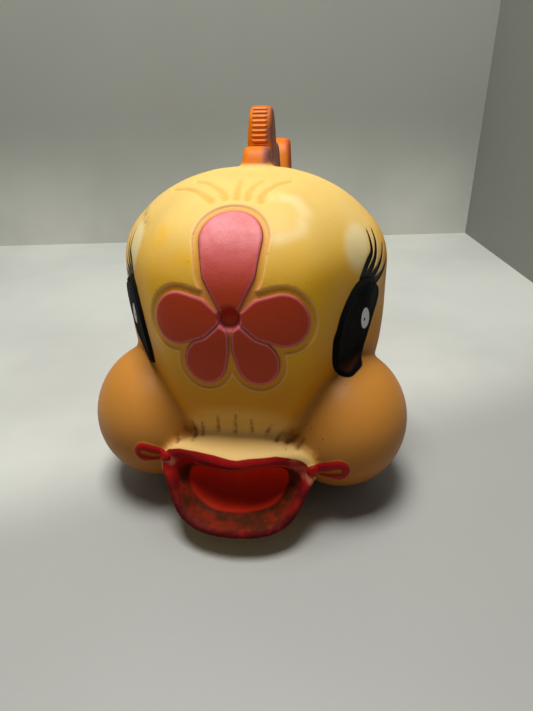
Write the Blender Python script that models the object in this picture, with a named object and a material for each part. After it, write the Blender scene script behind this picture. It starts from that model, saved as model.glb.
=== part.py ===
"""A rubber bath toy fish, moulded hollow in one piece.

The fish faces -Y and stands on its flat belly at Z = 0, with the origin in the middle of the
belly flat. Its main form mirrors about X = 0, but the curls at the mouth's corners don't. Lofts and spheres for the head, body, cheeks, mouth and
fins are fused into one skin. The moulded relief is pressed into that skin, and a smaller copy of
the same forms hollows it out. Distances are in metres.
"""

import math

import bmesh
import bpy
import numpy as np
from mathutils import Matrix, Vector

MM = 0.001

# Shell
WALL = 2.6 * MM
BASE_WALL = 3.0 * MM
BASE_TOLERANCE = 0.05 * MM
VENT_RADIUS = 2.0 * MM
VENT_Y = 14.0 * MM
SKIN_VOXEL = 0.8 * MM
HOLLOW_VOXEL = 2.6 * MM
SKIN_TRIANGLES = 10200
HOLLOW_TRIANGLES = 1000
# Stations at the root of the tail that stay solid
SOLID_STATIONS = 2
# Where the forehead runs into the upper lip: middle and half size of the part softened further
LIP_JOIN_MIDDLE = (0.0, -28.0, 32.0)
LIP_JOIN_SIZE = (26.0, 11.0, 10.0)
LIP_JOIN_PASSES = 90

# Head: level height, front, corner half width, corner set-back, half width, its Y, back
HEAD_LEVELS = (
    (8.0, -17.0, 14.0, 4.0, 28.0, 8.0, 36.0),
    (24.0, -24.5, 16.0, 5.0, 33.4, 8.0, 42.0),
    (38.0, -29.8, 18.0, 5.0, 39.6, 9.0, 46.0),
    (50.0, -31.5, 20.0, 5.5, 41.4, 10.0, 47.0),
    (62.0, -33.0, 21.5, 6.0, 41.6, 11.0, 46.0),
    (73.0, -32.0, 22.0, 6.0, 41.3, 12.0, 43.0),
    (80.0, -30.0, 21.5, 5.8, 38.4, 12.5, 40.0),
    (86.0, -26.0, 19.3, 5.0, 33.0, 13.0, 36.0),
    (90.5, -20.0, 16.2, 4.0, 27.2, 13.5, 32.0),
    (94.0, -12.0, 12.2, 3.0, 20.0, 14.0, 28.5),
    (96.1, -2.0, 7.5, 1.5, 12.8, 14.0, 25.0),
)

# Body behind the head: Y, half width, height of the middle, half height
BODY_STATIONS = (
    (-14.0, 25.0, 40.0, 42.0),
    (0.0, 34.0, 43.0, 47.0),
    (20.0, 37.0, 45.0, 49.0),
    (38.0, 33.0, 46.5, 45.0),
    (54.0, 24.0, 49.0, 35.0),
    (68.0, 15.0, 52.0, 24.0),
    (80.0, 8.5, 55.0, 16.0),
    (90.0, 6.0, 56.5, 11.0),
)

# Cheeks
CHEEK_SPAN = 100.0 * MM
CHEEK_WIDTH = 42.0 * MM
CHEEK_LENGTH = 48.0 * MM
CHEEK_HEIGHT = 43.0 * MM
CHEEK_Y = -6.0 * MM
CHEEK_Z = 24.5 * MM

# Mouth: the rim's middle, its backward lean, and how far its corners are set back
MOUTH_Y = -40.5 * MM
MOUTH_Z = 19.5 * MM
MOUTH_LEAN = math.radians(27.0)
MOUTH_CORNER_SET_BACK = 5.8 * MM
MOUTH_HALF_WIDTH = 20.0 * MM
# The rim's right half from the middle of the upper lip to the middle of the lower lip,
# each point across and up the mouth's own plane
MOUTH_RIM = (
    (0.0, 6.6),
    (6.0, 7.4),
    (11.5, 8.6),
    (16.4, 9.2),
    (19.6, 7.6),
    (20.7, 4.3),
    (19.0, 0.8),
    (16.7, -3.8),
    (13.8, -7.9),
    (8.2, -10.5),
    (0.0, -11.0),
)
# Lip rings from the back of the muzzle, over the rim and down into the throat: depth behind the
# rim, growth of its outline, crown of the upper lip in its middle, lift of all the upper lip, and
# how far the upper half has turned into an oval
LIP_RINGS = (
    (22.0, 0.5, 6.4, 1.6, 0.0),
    (13.0, 1.4, 7.4, 1.6, 0.0),
    (7.5, 1.9, 6.6, 1.6, 0.0),
    (3.6, 2.3, 4.4, 1.6, 0.0),
    (1.2, 2.2, 1.6, 1.4, 0.0),
    (0.0, 1.2, 0.0, 0.7, 0.0),
    (0.3, -0.2, 0.0, 0.0, 0.0),
    (2.4, -1.2, 0.0, 0.0, 0.45),
    (5.2, -2.2, 0.0, 0.0, 0.85),
    (8.2, -4.4, 0.0, 0.0, 1.0),
    (9.8, -8.0, 0.0, 0.0, 1.0),
)
# Half width and half height of that oval
THROAT_OVAL = (20.0, 9.4)

# Dorsal fin: outline along the back, front to rear, Y and height
FIN_OUTLINE = (
    (19.0, 92.0),
    (20.0, 98.0),
    (23.5, 101.6),
    (28.0, 101.4),
    (31.0, 99.5),
    (31.6, 104.0),
    (33.5, 109.6),
    (38.0, 112.6),
    (43.0, 111.4),
    (46.0, 106.5),
    (47.5, 100.5),
    (51.0, 100.8),
    (55.0, 98.0),
    (57.0, 92.0),
    (57.0, 84.0),
    (52.0, 74.0),
    (30.0, 80.0),
)
FIN_ROOT_Z = 92.0 * MM
FIN_ROOT_THICKNESS = 9.0 * MM
FIN_TIP_THICKNESS = 7.4 * MM

# Tail fan: outline round the two lobes, Y and height
TAIL_OUTLINE = (
    (78.0, 60.0),
    (82.0, 70.0),
    (85.5, 82.0),
    (90.0, 92.5),
    (96.0, 97.0),
    (102.0, 95.0),
    (106.0, 86.0),
    (106.5, 74.0),
    (102.5, 62.5),
    (103.5, 52.0),
    (107.0, 42.0),
    (106.0, 32.0),
    (100.5, 27.0),
    (93.5, 29.0),
    (88.0, 36.0),
    (82.0, 45.0),
)
TAIL_ROOT = (84.0, 56.0)
TAIL_THICKNESS = 11.0 * MM
TAIL_TIP_THICKNESS = 9.0 * MM

# Ribs across the front edge of the tall fin lobe: first and last place on the edge, Y and height
RIB_FIRST = (31.6, 102.6)
RIB_LAST = (34.6, 111.0)
RIB_COUNT = 7
RIB_LENGTH = 4.8 * MM
RIB_RADIUS = 0.6 * MM

# Face relief, drawn on a plane tilted back over the forehead: across, and up the plane
FACE_MIDDLE = (-32.0, 69.0)
FACE_TILT = math.radians(28.0)
# Petals in order of overlap: rounds from the flower's middle out (across, up, radius)
PETALS = (
    ((0.0, 3.2, 3.0), (0.0, 11.0, 6.6), (0.0, 18.9, 7.7)),
    ((-4.4, -0.8, 2.0), (-9.0, -0.8, 5.0), (-13.6, -0.8, 6.3)),
    ((4.4, -0.8, 2.0), (9.0, -0.8, 5.0), (13.6, -0.8, 6.3)),
    ((-2.9, -5.2, 2.4), (-5.0, -8.6, 4.4), (-6.9, -11.7, 5.4)),
    ((2.9, -5.2, 2.4), (5.0, -8.6, 4.4), (6.9, -11.7, 5.4)),
)
PETAL_GROOVE_WIDTH = 1.9
PETAL_GROOVE_DEPTH = 1.0
FLOWER_HOLE = (0.0, -0.8)
FLOWER_HOLE_RADIUS = 2.9
FLOWER_HOLE_DEPTH = 1.9
FLOWER_LOWEST = 42.0
CREST_LOWEST = 84.0
CREST = (
    ((-22.0, 38.2), (-16.4, 36.4), (-11.9, 33.7), (-9.0, 31.6), (-6.7, 29.6)),
    ((-14.8, 39.8), (-10.5, 37.9), (-6.5, 34.9), (-3.9, 32.4), (-3.2, 30.6)),
    ((-0.8, 39.0), (-0.6, 34.9), (-0.2, 30.8)),
    ((5.6, 38.8), (3.4, 35.4), (2.6, 32.9), (2.8, 30.6)),
    ((12.8, 39.3), (9.6, 36.8), (7.2, 33.7), (6.2, 31.3), (6.4, 29.7)),
)
CREST_STROKE = (0.95, 1.0)
PLEATS = (
    ((-18.5, -33.9), (-18.1, -35.1)),
    ((-16.4, -31.4), (-16.0, -33.5)),
    ((-14.4, -29.4), (-13.3, -34.1)),
    ((-10.6, -27.3), (-11.1, -32.8)),
    ((-5.3, -26.6), (-6.0, -31.3)),
    ((-0.1, -26.2), (-1.0, -31.9)),
    ((4.1, -27.5), (3.9, -31.2)),
    ((9.6, -28.9), (7.9, -31.9)),
    ((12.5, -31.4), (11.0, -33.3)),
    ((16.4, -32.1), (13.9, -34.0)),
    ((18.6, -33.2), (17.1, -35.1)),
)
PLEAT_STROKE = (0.8, 0.4)
# Furthest back that the relief of the face and that of the curls reach, and the innermost
# place of the eyes
FACE_END = 14.0
CURL_END = -20.0
EYE_INNER = 20.0
# Curls on the cheeks beyond the mouth's corners: rounds at the inner and the outer end
CURLS = (
    ((-20.8, -39.8, 1.3), (-28.2, -39.2, 2.9)),
    ((21.4, -41.4, 1.5), (28.9, -41.4, 3.1)),
)
CURL_HEIGHT = 0.8
CURL_GROOVES = (
    ((-22.5, -40.3), (-26.0, -39.9), (-28.6, -39.3)),
    ((22.5, -42.4), (26.5, -42.1), (29.2, -41.5)),
)
CURL_GROOVE_STROKE = (0.8, 1.1)

# Eye relief, drawn on an upright plane turned towards the side: towards the tail, and up
EYE_MIDDLE = (35.0, -4.0, 55.0)
EYE_TURN = math.radians(28.0)
EYE_OUTLINE = (
    (-0.6, 15.3),
    (-4.3, 15.7),
    (-8.5, 14.8),
    (-12.1, 12.7),
    (-15.0, 10.0),
    (-16.7, 7.0),
    (-17.3, 3.5),
    (-17.0, -0.5),
    (-15.8, -5.0),
    (-13.6, -8.6),
    (-9.6, -9.9),
    (-5.2, -9.9),
    (-2.4, -8.6),
    (0.1, -5.8),
    (1.9, -1.6),
    (3.6, 2.4),
    (5.6, 5.8),
    (6.5, 8.8),
    (5.6, 11.8),
    (3.0, 14.0),
)
EYE_HEIGHT = 1.1
EYE_EDGE = 1.6
LASHES = (
    ((-5.2, 16.5), (-1.0, 19.0), (2.6, 21.7), (4.3, 24.4), (5.3, 26.5)),
    ((-2.7, 15.9), (1.4, 17.7), (4.0, 20.3), (6.3, 23.6), (7.8, 26.0)),
    ((0.9, 14.9), (5.1, 16.7), (7.6, 19.4), (9.4, 21.9)),
    ((4.0, 13.3), (7.9, 14.4), (10.6, 16.7), (12.0, 18.6)),
)
LASH_STROKE = (0.7, 0.5)

# Grooves fanning over both sides of the tail, Y and height
TAIL_GROOVES = (
    ((88.0, 64.0), (92.0, 76.0), (96.0, 92.0)),
    ((90.0, 62.0), (96.0, 74.0), (101.0, 90.0)),
    ((92.0, 60.0), (98.0, 68.0), (104.0, 78.0)),
    ((91.0, 55.0), (97.0, 49.0), (104.0, 42.0)),
    ((89.0, 52.0), (95.0, 43.0), (102.0, 32.0)),
)
TAIL_STROKE = (0.9, 0.8)
TAIL_START = 86.0

RUBBER_COLOUR = (0.78, 0.42, 0.12, 1.0)
RUBBER_ROUGHNESS = 0.45


def catmull_rom(points, steps, closed):
    """Points on a smooth curve through the given ones, `steps` to each span."""
    count = len(points)
    spans = count if closed else count - 1
    found = []
    for span in range(spans):
        around = []
        for offset in (-1, 0, 1, 2):
            index = span + offset
            around.append(points[index % count] if closed else points[min(max(index, 0), count - 1)])
        before, start, end, after = around
        for step in range(steps):
            t = step / steps
            found.append(
                0.5
                * (
                    2 * start
                    + (end - before) * t
                    + (2 * before - 5 * start + 4 * end - after) * t**2
                    + (3 * start - before - 3 * end + after) * t**3
                )
            )
    if not closed:
        found.append(points[-1])
    return np.array(found)


def mesh_from_grid(mesh, rings):
    """Adds a closed tube through rings of equal length, with both ends filled, to a bmesh."""
    grid = [[mesh.verts.new(Vector(point)) for point in ring] for ring in rings]
    around = len(grid[0])
    for lower, upper in zip(grid, grid[1:]):
        for index in range(around):
            after = (index + 1) % around
            mesh.faces.new((lower[index], lower[after], upper[after], upper[index]))
    for ring, flip in ((grid[0], True), (grid[-1], False)):
        middle = mesh.verts.new(sum((vert.co for vert in ring), Vector()) / around)
        for index in range(around):
            pair = (ring[index], ring[(index + 1) % around])
            mesh.faces.new((*reversed(pair), middle) if flip else (*pair, middle))


def loft(mesh, sections, steps_around=5, steps_along=5):
    """Adds a smooth closed loft through the sections, each an array of points round a ring."""
    rings = [catmull_rom(np.array(section), steps_around, True) for section in sections]
    along = catmull_rom(np.array(rings), steps_along, False)
    mesh_from_grid(mesh, along)


def mirrored(half):
    """A closed ring from its right half, whose first and last points lie on the middle."""
    return list(half) + [(-x, *rest) for x, *rest in reversed(half[1:-1])]


def head_sections():
    """Level sections of the head: a broad forehead, sides that flare backwards, a round back."""
    sections = []
    for z, front, corner, set_back, half_width, widest_y, back in HEAD_LEVELS:
        half = (
            (0.0, front),
            (corner * 0.55, front + set_back * 0.16),
            (corner, front + set_back),
            (corner * 0.5 + half_width * 0.5, front * 0.5 + widest_y * 0.5 + set_back * 0.1),
            (half_width, widest_y),
            (half_width * 0.84, widest_y * 0.42 + back * 0.58),
            (half_width * 0.46, widest_y * 0.08 + back * 0.92),
            (0.0, back),
        )
        ring = mirrored([(x, y, z) for x, y in half])
        sections.append(np.array(ring) * MM)
    return sections


def body_sections(stations):
    """Upright oval sections of the body, from inside the head to the root of the tail."""
    sections = []
    for y, half_width, middle, half_height in stations:
        ring = []
        for step in range(12):
            turn = math.tau * step / 12
            ring.append((half_width * math.cos(turn), y, middle + half_height * math.sin(turn)))
        sections.append(np.array(ring) * MM)
    return sections


def mouth_sections():
    """Rings of the muzzle, from its back over the rim and down into the throat."""
    across = np.array([(x, up) for x, up in mirrored(MOUTH_RIM)]) * MM
    lean_up = np.array((0.0, math.sin(MOUTH_LEAN), math.cos(MOUTH_LEAN)))
    lean_out = np.array((0.0, -math.cos(MOUTH_LEAN), math.sin(MOUTH_LEAN)))
    middle = np.array((0.0, MOUTH_Y, MOUTH_Z))
    sections = []
    top = max(up for _, up in MOUTH_RIM) * MM
    oval = across / np.linalg.norm(across / (np.array(THROAT_OVAL) * MM), axis=1, keepdims=True)
    for depth, growth, crown, lift, rounding in LIP_RINGS:
        share = rounding * (across[:, 1:] > 0)
        ring = across + (oval - across) * share
        ring = ring * (1 + growth * MM / np.linalg.norm(ring, axis=1, keepdims=True))
        share = np.abs(across[:, 0]) / MOUTH_HALF_WIDTH
        upper = np.clip(across[:, 1] / top, 0.0, 1.0)
        arch = np.cos(np.minimum(share, 1.0) * math.pi / 2) ** 2
        ring[:, 1] += MM * upper * (crown * arch + lift)
        out = -depth * MM - MOUTH_CORNER_SET_BACK * share**2 * max(0.0, 1 - depth / 14.0)
        sideways = ring[:, :1] * np.array((1.0, 0.0, 0.0))
        sections.append(middle + sideways + ring[:, 1:] * lean_up + out[:, None] * lean_out)
    return sections


def add_cheeks(mesh):
    """Adds the two puffed cheeks."""
    size = Vector((CHEEK_WIDTH, CHEEK_LENGTH, CHEEK_HEIGHT)) / 2
    for side in (-1, 1):
        made = bmesh.ops.create_uvsphere(mesh, u_segments=32, v_segments=20, radius=1.0)
        centre = Vector((side * (CHEEK_SPAN - CHEEK_WIDTH) / 2, CHEEK_Y, CHEEK_Z))
        for vert in made["verts"]:
            vert.co = Vector(a * b for a, b in zip(vert.co, size)) + centre


def add_plate(mesh, outline, thickness_at):
    """Adds an upright plate on the middle plane, as thick as `thickness_at` gives."""
    points = catmull_rom(np.array(outline) * MM, 5, True)
    faces = []
    for side in (-1, 1):
        ring = []
        for y, z in points:
            ring.append(mesh.verts.new((side * thickness_at(y, z) / 2, y, z)))
        faces.append(ring)
    left, right = faces
    count = len(left)
    mesh.faces.new(left)
    mesh.faces.new(reversed(right))
    for index in range(count):
        after = (index + 1) % count
        mesh.faces.new((left[after], left[index], right[index], right[after]))


def fin_thickness(_y, z):
    """The dorsal fin's thickness, from its root up to its tip."""
    tip = max(point[1] for point in FIN_OUTLINE) * MM
    share = min(max((z - FIN_ROOT_Z) / (tip - FIN_ROOT_Z), 0.0), 1.0)
    return FIN_ROOT_THICKNESS + share * (FIN_TIP_THICKNESS - FIN_ROOT_THICKNESS)


def tail_thickness(y, z):
    """The tail's thickness, from its root out to the edge of the fan."""
    reach = math.hypot(y - TAIL_ROOT[0] * MM, z - TAIL_ROOT[1] * MM)
    share = min(reach / (40 * MM), 1.0)
    return TAIL_THICKNESS + share * (TAIL_TIP_THICKNESS - TAIL_THICKNESS)


def object_from(mesh, name):
    """Makes an object from a bmesh and frees it."""
    bmesh.ops.recalc_face_normals(mesh, faces=mesh.faces)
    data = bpy.data.meshes.new(name)
    mesh.to_mesh(data)
    mesh.free()
    made = bpy.data.objects.new(name, data)
    bpy.context.scene.collection.objects.link(made)
    return made


def settle(target):
    """Applies the object's modifiers to its mesh."""
    graph = bpy.context.evaluated_depsgraph_get()
    data = bpy.data.meshes.new_from_object(target.evaluated_get(graph))
    target.modifiers.clear()
    target.data = data


def fuse(target, voxel, smoothing):
    """Turns overlapping closed forms into one skin of even quads and softens it."""
    remesh = target.modifiers.new("Fuse", "REMESH")
    remesh.mode = "VOXEL"
    remesh.voxel_size = voxel
    soften = target.modifiers.new("Soften", "SMOOTH")
    soften.factor = 0.5
    soften.iterations = smoothing
    settle(target)


def cut_level(target, height):
    """Cuts the object flat at a height and closes the cut."""
    mesh = bmesh.new()
    mesh.from_mesh(target.data)
    geometry = [*mesh.verts, *mesh.edges, *mesh.faces]
    bmesh.ops.bisect_plane(
        mesh, geom=geometry, plane_co=(0.0, 0.0, height), plane_no=(0.0, 0.0, -1.0), clear_outer=True
    )
    rim = [edge for edge in mesh.edges if edge.is_boundary]
    bmesh.ops.edgenet_fill(mesh, edges=rim)
    bmesh.ops.recalc_face_normals(mesh, faces=mesh.faces)
    mesh.to_mesh(target.data)
    mesh.free()


def thin_out(target, triangles):
    """Reduces the object to about this many triangles, keeping its sharpest forms."""
    target.modifiers.new("Triangles", "TRIANGULATE")
    settle(target)
    reduce = target.modifiers.new("Thin out", "DECIMATE")
    reduce.ratio = min(1.0, triangles / len(target.data.polygons))
    settle(target)


def step_between(low, high, values):
    """Rises smoothly from 0 at `low` to 1 at `high`."""
    share = np.clip((values - low) / (high - low), 0.0, 1.0)
    return share * share * (3 - 2 * share)


def rounds_distance(points, rounds):
    """Distance outside a row of rounds, each joined smoothly to the next, negative inside it."""
    pairs = zip(rounds, rounds[1:])
    return np.minimum.reduce([pair_distance(points, base, tip) for base, tip in pairs])


def pair_distance(points, base, tip):
    """Distance outside two joined rounds, negative inside them."""
    start = np.array(base[:2])
    axis = np.array(tip[:2]) - start
    length = np.linalg.norm(axis)
    axis = axis / length
    local = points - start
    along = local @ axis
    aside = np.abs(local @ np.array((-axis[1], axis[0])))
    slope = (base[2] - tip[2]) / length
    level = math.sqrt(1 - slope * slope)
    place = along * level - aside * slope
    near_base = np.hypot(aside, along) - base[2]
    near_tip = np.hypot(aside, along - length) - tip[2]
    between = aside * level + along * slope - base[2]
    return np.where(place < 0, near_base, np.where(place > level * length, near_tip, between))


def stroke_distance(points, stroke):
    """Distance from a line of straight pieces."""
    nearest = np.full(len(points), np.inf)
    for start, end in zip(np.array(stroke), np.array(stroke)[1:]):
        axis = end - start
        share = np.clip((points - start) @ axis / (axis @ axis), 0.0, 1.0)
        nearest = np.minimum(nearest, np.linalg.norm(points - start - share[:, None] * axis, axis=1))
    return nearest


def outline_distance(points, outline):
    """Distance outside a smooth closed outline, negative inside it."""
    ring = catmull_rom(np.array(outline), 4, True)
    inside = np.zeros(len(points), dtype=bool)
    x, y = points[:, 0], points[:, 1]
    for (x1, y1), (x2, y2) in zip(ring, np.roll(ring, -1, axis=0)):
        crosses = (y1 > y) != (y2 > y)
        if y1 != y2:
            inside ^= crosses & (x < (x2 - x1) * (y - y1) / (y2 - y1) + x1)
    edge = stroke_distance(points, np.vstack((ring, ring[:1])))
    return np.where(inside, -edge, edge)


def groove(distance, stroke):
    """Depth of a rounded groove of the given half width and depth."""
    half_width, depth = stroke
    return depth * (1 - step_between(0.35 * half_width, 1.15 * half_width, distance))


def flower_relief(face):
    """Height of the flower: grooves round the petals and a deeper hole in its middle."""
    sunk = np.zeros(len(face))
    covered = np.zeros(len(face), dtype=bool)
    for petal in PETALS:
        distance = rounds_distance(face, petal)
        ring = step_between(-0.4, 0.7, distance)
        ring *= 1 - step_between(PETAL_GROOVE_WIDTH - 0.7, PETAL_GROOVE_WIDTH + 0.5, distance)
        sunk = np.where(covered, sunk, np.where(distance < 0, 0.0, np.maximum(sunk, 0.0)))
        sunk = np.where(covered, sunk, np.maximum(sunk, PETAL_GROOVE_DEPTH * ring))
        covered |= distance < 0
    hole = np.hypot(face[:, 0] - FLOWER_HOLE[0], face[:, 1] - FLOWER_HOLE[1])
    pit = FLOWER_HOLE_DEPTH * (1 - step_between(FLOWER_HOLE_RADIUS - 0.5, FLOWER_HOLE_RADIUS + 0.4, hole))
    return -np.maximum(sunk, pit)


def face_relief(places):
    """Height of the relief on the front of the head."""
    up_y, up_z = math.sin(FACE_TILT), math.cos(FACE_TILT)
    up = (places[:, 1] - FACE_MIDDLE[0]) * up_y + (places[:, 2] - FACE_MIDDLE[1]) * up_z
    face = np.column_stack((places[:, 0], up))
    height = np.where(places[:, 2] > FLOWER_LOWEST, flower_relief(face), 0.0)
    above = places[:, 2] > CREST_LOWEST
    for stroke in CREST:
        height -= np.where(above, groove(stroke_distance(face, stroke), CREST_STROKE), 0.0)
    for stroke in PLEATS:
        height -= groove(stroke_distance(face, stroke), PLEAT_STROKE)
    for curl, line in zip(CURLS, CURL_GROOVES):
        raised = CURL_HEIGHT * (1 - step_between(-0.6, 0.3, rounds_distance(face, curl)))
        raised -= groove(stroke_distance(face, line), CURL_GROOVE_STROKE)
        height += np.where(places[:, 1] < CURL_END, raised, 0.0)
    return np.where(places[:, 1] < FACE_END, height, 0.0)


def eye_relief(places):
    """Height of the raised eyes and the fine grooves of their lashes."""
    across = (np.abs(places[:, 0]) - EYE_MIDDLE[0]) * math.sin(EYE_TURN)
    across += (places[:, 1] - EYE_MIDDLE[1]) * math.cos(EYE_TURN)
    side = np.column_stack((across, places[:, 2] - EYE_MIDDLE[2]))
    height = EYE_HEIGHT * (1 - step_between(-EYE_EDGE, 0.2, outline_distance(side, EYE_OUTLINE)))
    for stroke in LASHES:
        height -= groove(stroke_distance(side, stroke), LASH_STROKE)
    return np.where(np.abs(places[:, 0]) > EYE_INNER, height, 0.0)


def tail_relief(places):
    """Depth of the grooves that fan over both sides of the tail."""
    side = places[:, 1:]
    height = np.zeros(len(places))
    for stroke in TAIL_GROOVES:
        height -= groove(stroke_distance(side, stroke), TAIL_STROKE)
    return np.where(places[:, 1] > TAIL_START, height, 0.0)


def soften_lip_join(skin):
    """Rounds out the crease between the forehead and the upper lip."""
    group = skin.vertex_groups.new(name="lip join")
    for vert in skin.data.vertices:
        parts = zip(vert.co, LIP_JOIN_MIDDLE, LIP_JOIN_SIZE)
        reach = math.hypot(*((place / MM - middle) / size for place, middle, size in parts))
        if reach < 1.0:
            group.add([vert.index], 1.0 - reach * reach, "REPLACE")
    soften = skin.modifiers.new("Lip join", "SMOOTH")
    soften.vertex_group = group.name
    soften.iterations = int(LIP_JOIN_PASSES)
    settle(skin)
    skin.vertex_groups.clear()


def press_relief(skin):
    """Moves the skin along its normals by the moulded relief."""
    count = len(skin.data.vertices)
    places = np.empty(count * 3)
    skin.data.vertices.foreach_get("co", places)
    places = places.reshape(count, 3)
    normals = np.empty(count * 3)
    skin.data.vertices.foreach_get("normal", normals)
    normals = normals.reshape(count, 3)
    drawn = places / MM
    height = face_relief(drawn) + eye_relief(drawn) + tail_relief(drawn)
    height = np.where(drawn[:, 2] > 1.0, height, 0.0)
    moved = places + normals * height[:, None] * MM
    skin.data.vertices.foreach_set("co", moved.ravel())
    skin.data.update()


def build_skin():
    """The fish's outer form with its relief."""
    mesh = bmesh.new()
    loft(mesh, head_sections())
    loft(mesh, body_sections(BODY_STATIONS))
    loft(mesh, mouth_sections())
    add_cheeks(mesh)
    add_plate(mesh, FIN_OUTLINE, fin_thickness)
    add_plate(mesh, TAIL_OUTLINE, tail_thickness)
    skin = object_from(mesh, "fish")
    fuse(skin, SKIN_VOXEL, 14)
    soften_lip_join(skin)
    press_relief(skin)
    cut_level(skin, 0.0)
    thin_out(skin, SKIN_TRIANGLES)
    for vert in skin.data.vertices:
        if vert.co.z < BASE_TOLERANCE:
            vert.co.z = 0.0
    return skin


def build_hollow():
    """The air space: the same forms, a wall's thickness inside the skin."""
    mesh = bmesh.new()
    loft(mesh, head_sections())
    loft(mesh, body_sections(BODY_STATIONS[:-SOLID_STATIONS]))
    add_cheeks(mesh)
    hollow = object_from(mesh, "hollow")
    fuse(hollow, HOLLOW_VOXEL, 6)
    shrink = hollow.modifiers.new("Wall", "DISPLACE")
    shrink.mid_level = 0.0
    shrink.strength = -WALL
    settle(hollow)
    fuse(hollow, HOLLOW_VOXEL, 2)
    cut_level(hollow, BASE_WALL)
    thin_out(hollow, HOLLOW_TRIANGLES)
    return hollow


def build_vent():
    """The round hole through the belly that leads to the air space."""
    mesh = bmesh.new()
    place = Matrix.Translation((0.0, VENT_Y, BASE_WALL / 2))
    bmesh.ops.create_cone(
        mesh,
        cap_ends=True,
        segments=24,
        radius1=VENT_RADIUS,
        radius2=VENT_RADIUS,
        depth=BASE_WALL * 2,
        matrix=place,
    )
    return object_from(mesh, "vent")


def build_ribs():
    """Short ribs one above the other across the front edge of the tall fin lobe."""
    mesh = bmesh.new()
    first = np.array(RIB_FIRST) * MM
    last = np.array(RIB_LAST) * MM
    for index in range(RIB_COUNT):
        y, z = first + (last - first) * index / (RIB_COUNT - 1)
        place = Matrix.Translation((0.0, y, z)) @ Matrix.Rotation(math.pi / 2, 4, "Y")
        bmesh.ops.create_cone(
            mesh,
            cap_ends=True,
            segments=8,
            radius1=RIB_RADIUS,
            radius2=RIB_RADIUS,
            depth=RIB_LENGTH,
            matrix=place,
        )
    return object_from(mesh, "ribs")


def combine(target, cutter, operation):
    """Joins or cuts the target with another object, which is then hidden."""
    boolean = target.modifiers.new(cutter.name, "BOOLEAN")
    boolean.operation = operation
    boolean.solver = "EXACT"
    boolean.object = cutter
    cutter.hide_render = True
    cutter.display_type = "WIRE"


def rubber():
    """Plain orange-yellow rubber."""
    made = bpy.data.materials.new("rubber")
    made.use_nodes = True
    surface = made.node_tree.nodes["Principled BSDF"]
    surface.inputs["Base Color"].default_value = RUBBER_COLOUR
    surface.inputs["Roughness"].default_value = RUBBER_ROUGHNESS
    return made


def main():
    """Builds the fish."""
    for old in list(bpy.data.objects):
        bpy.data.objects.remove(old)
    skin = build_skin()
    combine(skin, build_ribs(), "UNION")
    combine(skin, build_hollow(), "DIFFERENCE")
    combine(skin, build_vent(), "DIFFERENCE")
    skin.data.materials.append(rubber())


main()
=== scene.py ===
"""A painted rubber bath toy fish standing on a pale table top.

The toy is one hollow moulding, so it is one piece here. Lofted and primitive forms are fused into
one skin, the moulded relief is pressed into it, and the edges of each painted field are kept on
the mesh as distances, which the finish turns into clean lines. Positions are in millimetres where
a name says nothing else, and MM turns them into metres.
"""

from __future__ import annotations

import logging
import math
from dataclasses import dataclass, field
from enum import Enum

import bmesh
import bpy
import numpy as np
from mathutils import Matrix, Vector

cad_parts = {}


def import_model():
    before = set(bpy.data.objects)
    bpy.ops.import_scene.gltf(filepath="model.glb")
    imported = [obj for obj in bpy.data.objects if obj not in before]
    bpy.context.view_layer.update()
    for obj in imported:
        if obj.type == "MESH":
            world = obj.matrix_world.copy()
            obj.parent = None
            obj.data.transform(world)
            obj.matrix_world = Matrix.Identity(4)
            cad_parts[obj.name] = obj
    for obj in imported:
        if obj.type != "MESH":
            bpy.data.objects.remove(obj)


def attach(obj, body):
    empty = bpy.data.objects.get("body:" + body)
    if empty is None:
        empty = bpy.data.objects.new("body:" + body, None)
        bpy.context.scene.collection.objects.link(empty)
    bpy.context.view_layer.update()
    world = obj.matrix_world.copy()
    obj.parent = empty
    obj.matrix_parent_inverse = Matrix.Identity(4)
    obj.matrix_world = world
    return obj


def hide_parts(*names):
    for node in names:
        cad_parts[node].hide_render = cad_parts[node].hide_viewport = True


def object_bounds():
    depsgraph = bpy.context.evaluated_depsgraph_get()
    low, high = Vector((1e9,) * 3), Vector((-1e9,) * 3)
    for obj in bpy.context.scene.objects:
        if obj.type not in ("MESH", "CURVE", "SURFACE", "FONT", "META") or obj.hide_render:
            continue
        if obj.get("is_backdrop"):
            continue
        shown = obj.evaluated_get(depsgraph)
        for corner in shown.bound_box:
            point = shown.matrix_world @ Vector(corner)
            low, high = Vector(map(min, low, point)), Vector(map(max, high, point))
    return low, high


LOG = logging.getLogger("bath_fish")
MM = 0.001

Point = tuple[float, float]
Stroke = tuple[Point, ...]
Round = tuple[float, float, float]


class Side(Enum):
    """The toy's two sides, as signs of X."""

    RIGHT = -1
    LEFT = 1


def linear(red: int, green: int, blue: int) -> tuple[float, float, float, float]:
    """Turns a screen colour into the scene's linear colour.

    Args:
        red: Red from 0 to 255.
        green: Green from 0 to 255.
        blue: Blue from 0 to 255.

    Returns:
        The linear colour with full alpha.
    """
    values = []
    for channel in (red, green, blue):
        share = channel / 255
        values.append(share / 12.92 if share <= 0.04045 else ((share + 0.055) / 1.055) ** 2.4)
    return values[0], values[1], values[2], 1.0


def pick_only(target: bpy.types.Object) -> None:
    """Makes the object the only one selected, and active."""
    bpy.ops.object.select_all(action="DESELECT")
    target.select_set(True)
    bpy.context.view_layer.objects.active = target


def apply_all(target: bpy.types.Object) -> None:
    """Applies every modifier of the object in order."""
    pick_only(target)
    for modifier in list(target.modifiers):
        bpy.ops.object.modifier_apply(modifier=modifier.name)


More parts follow.
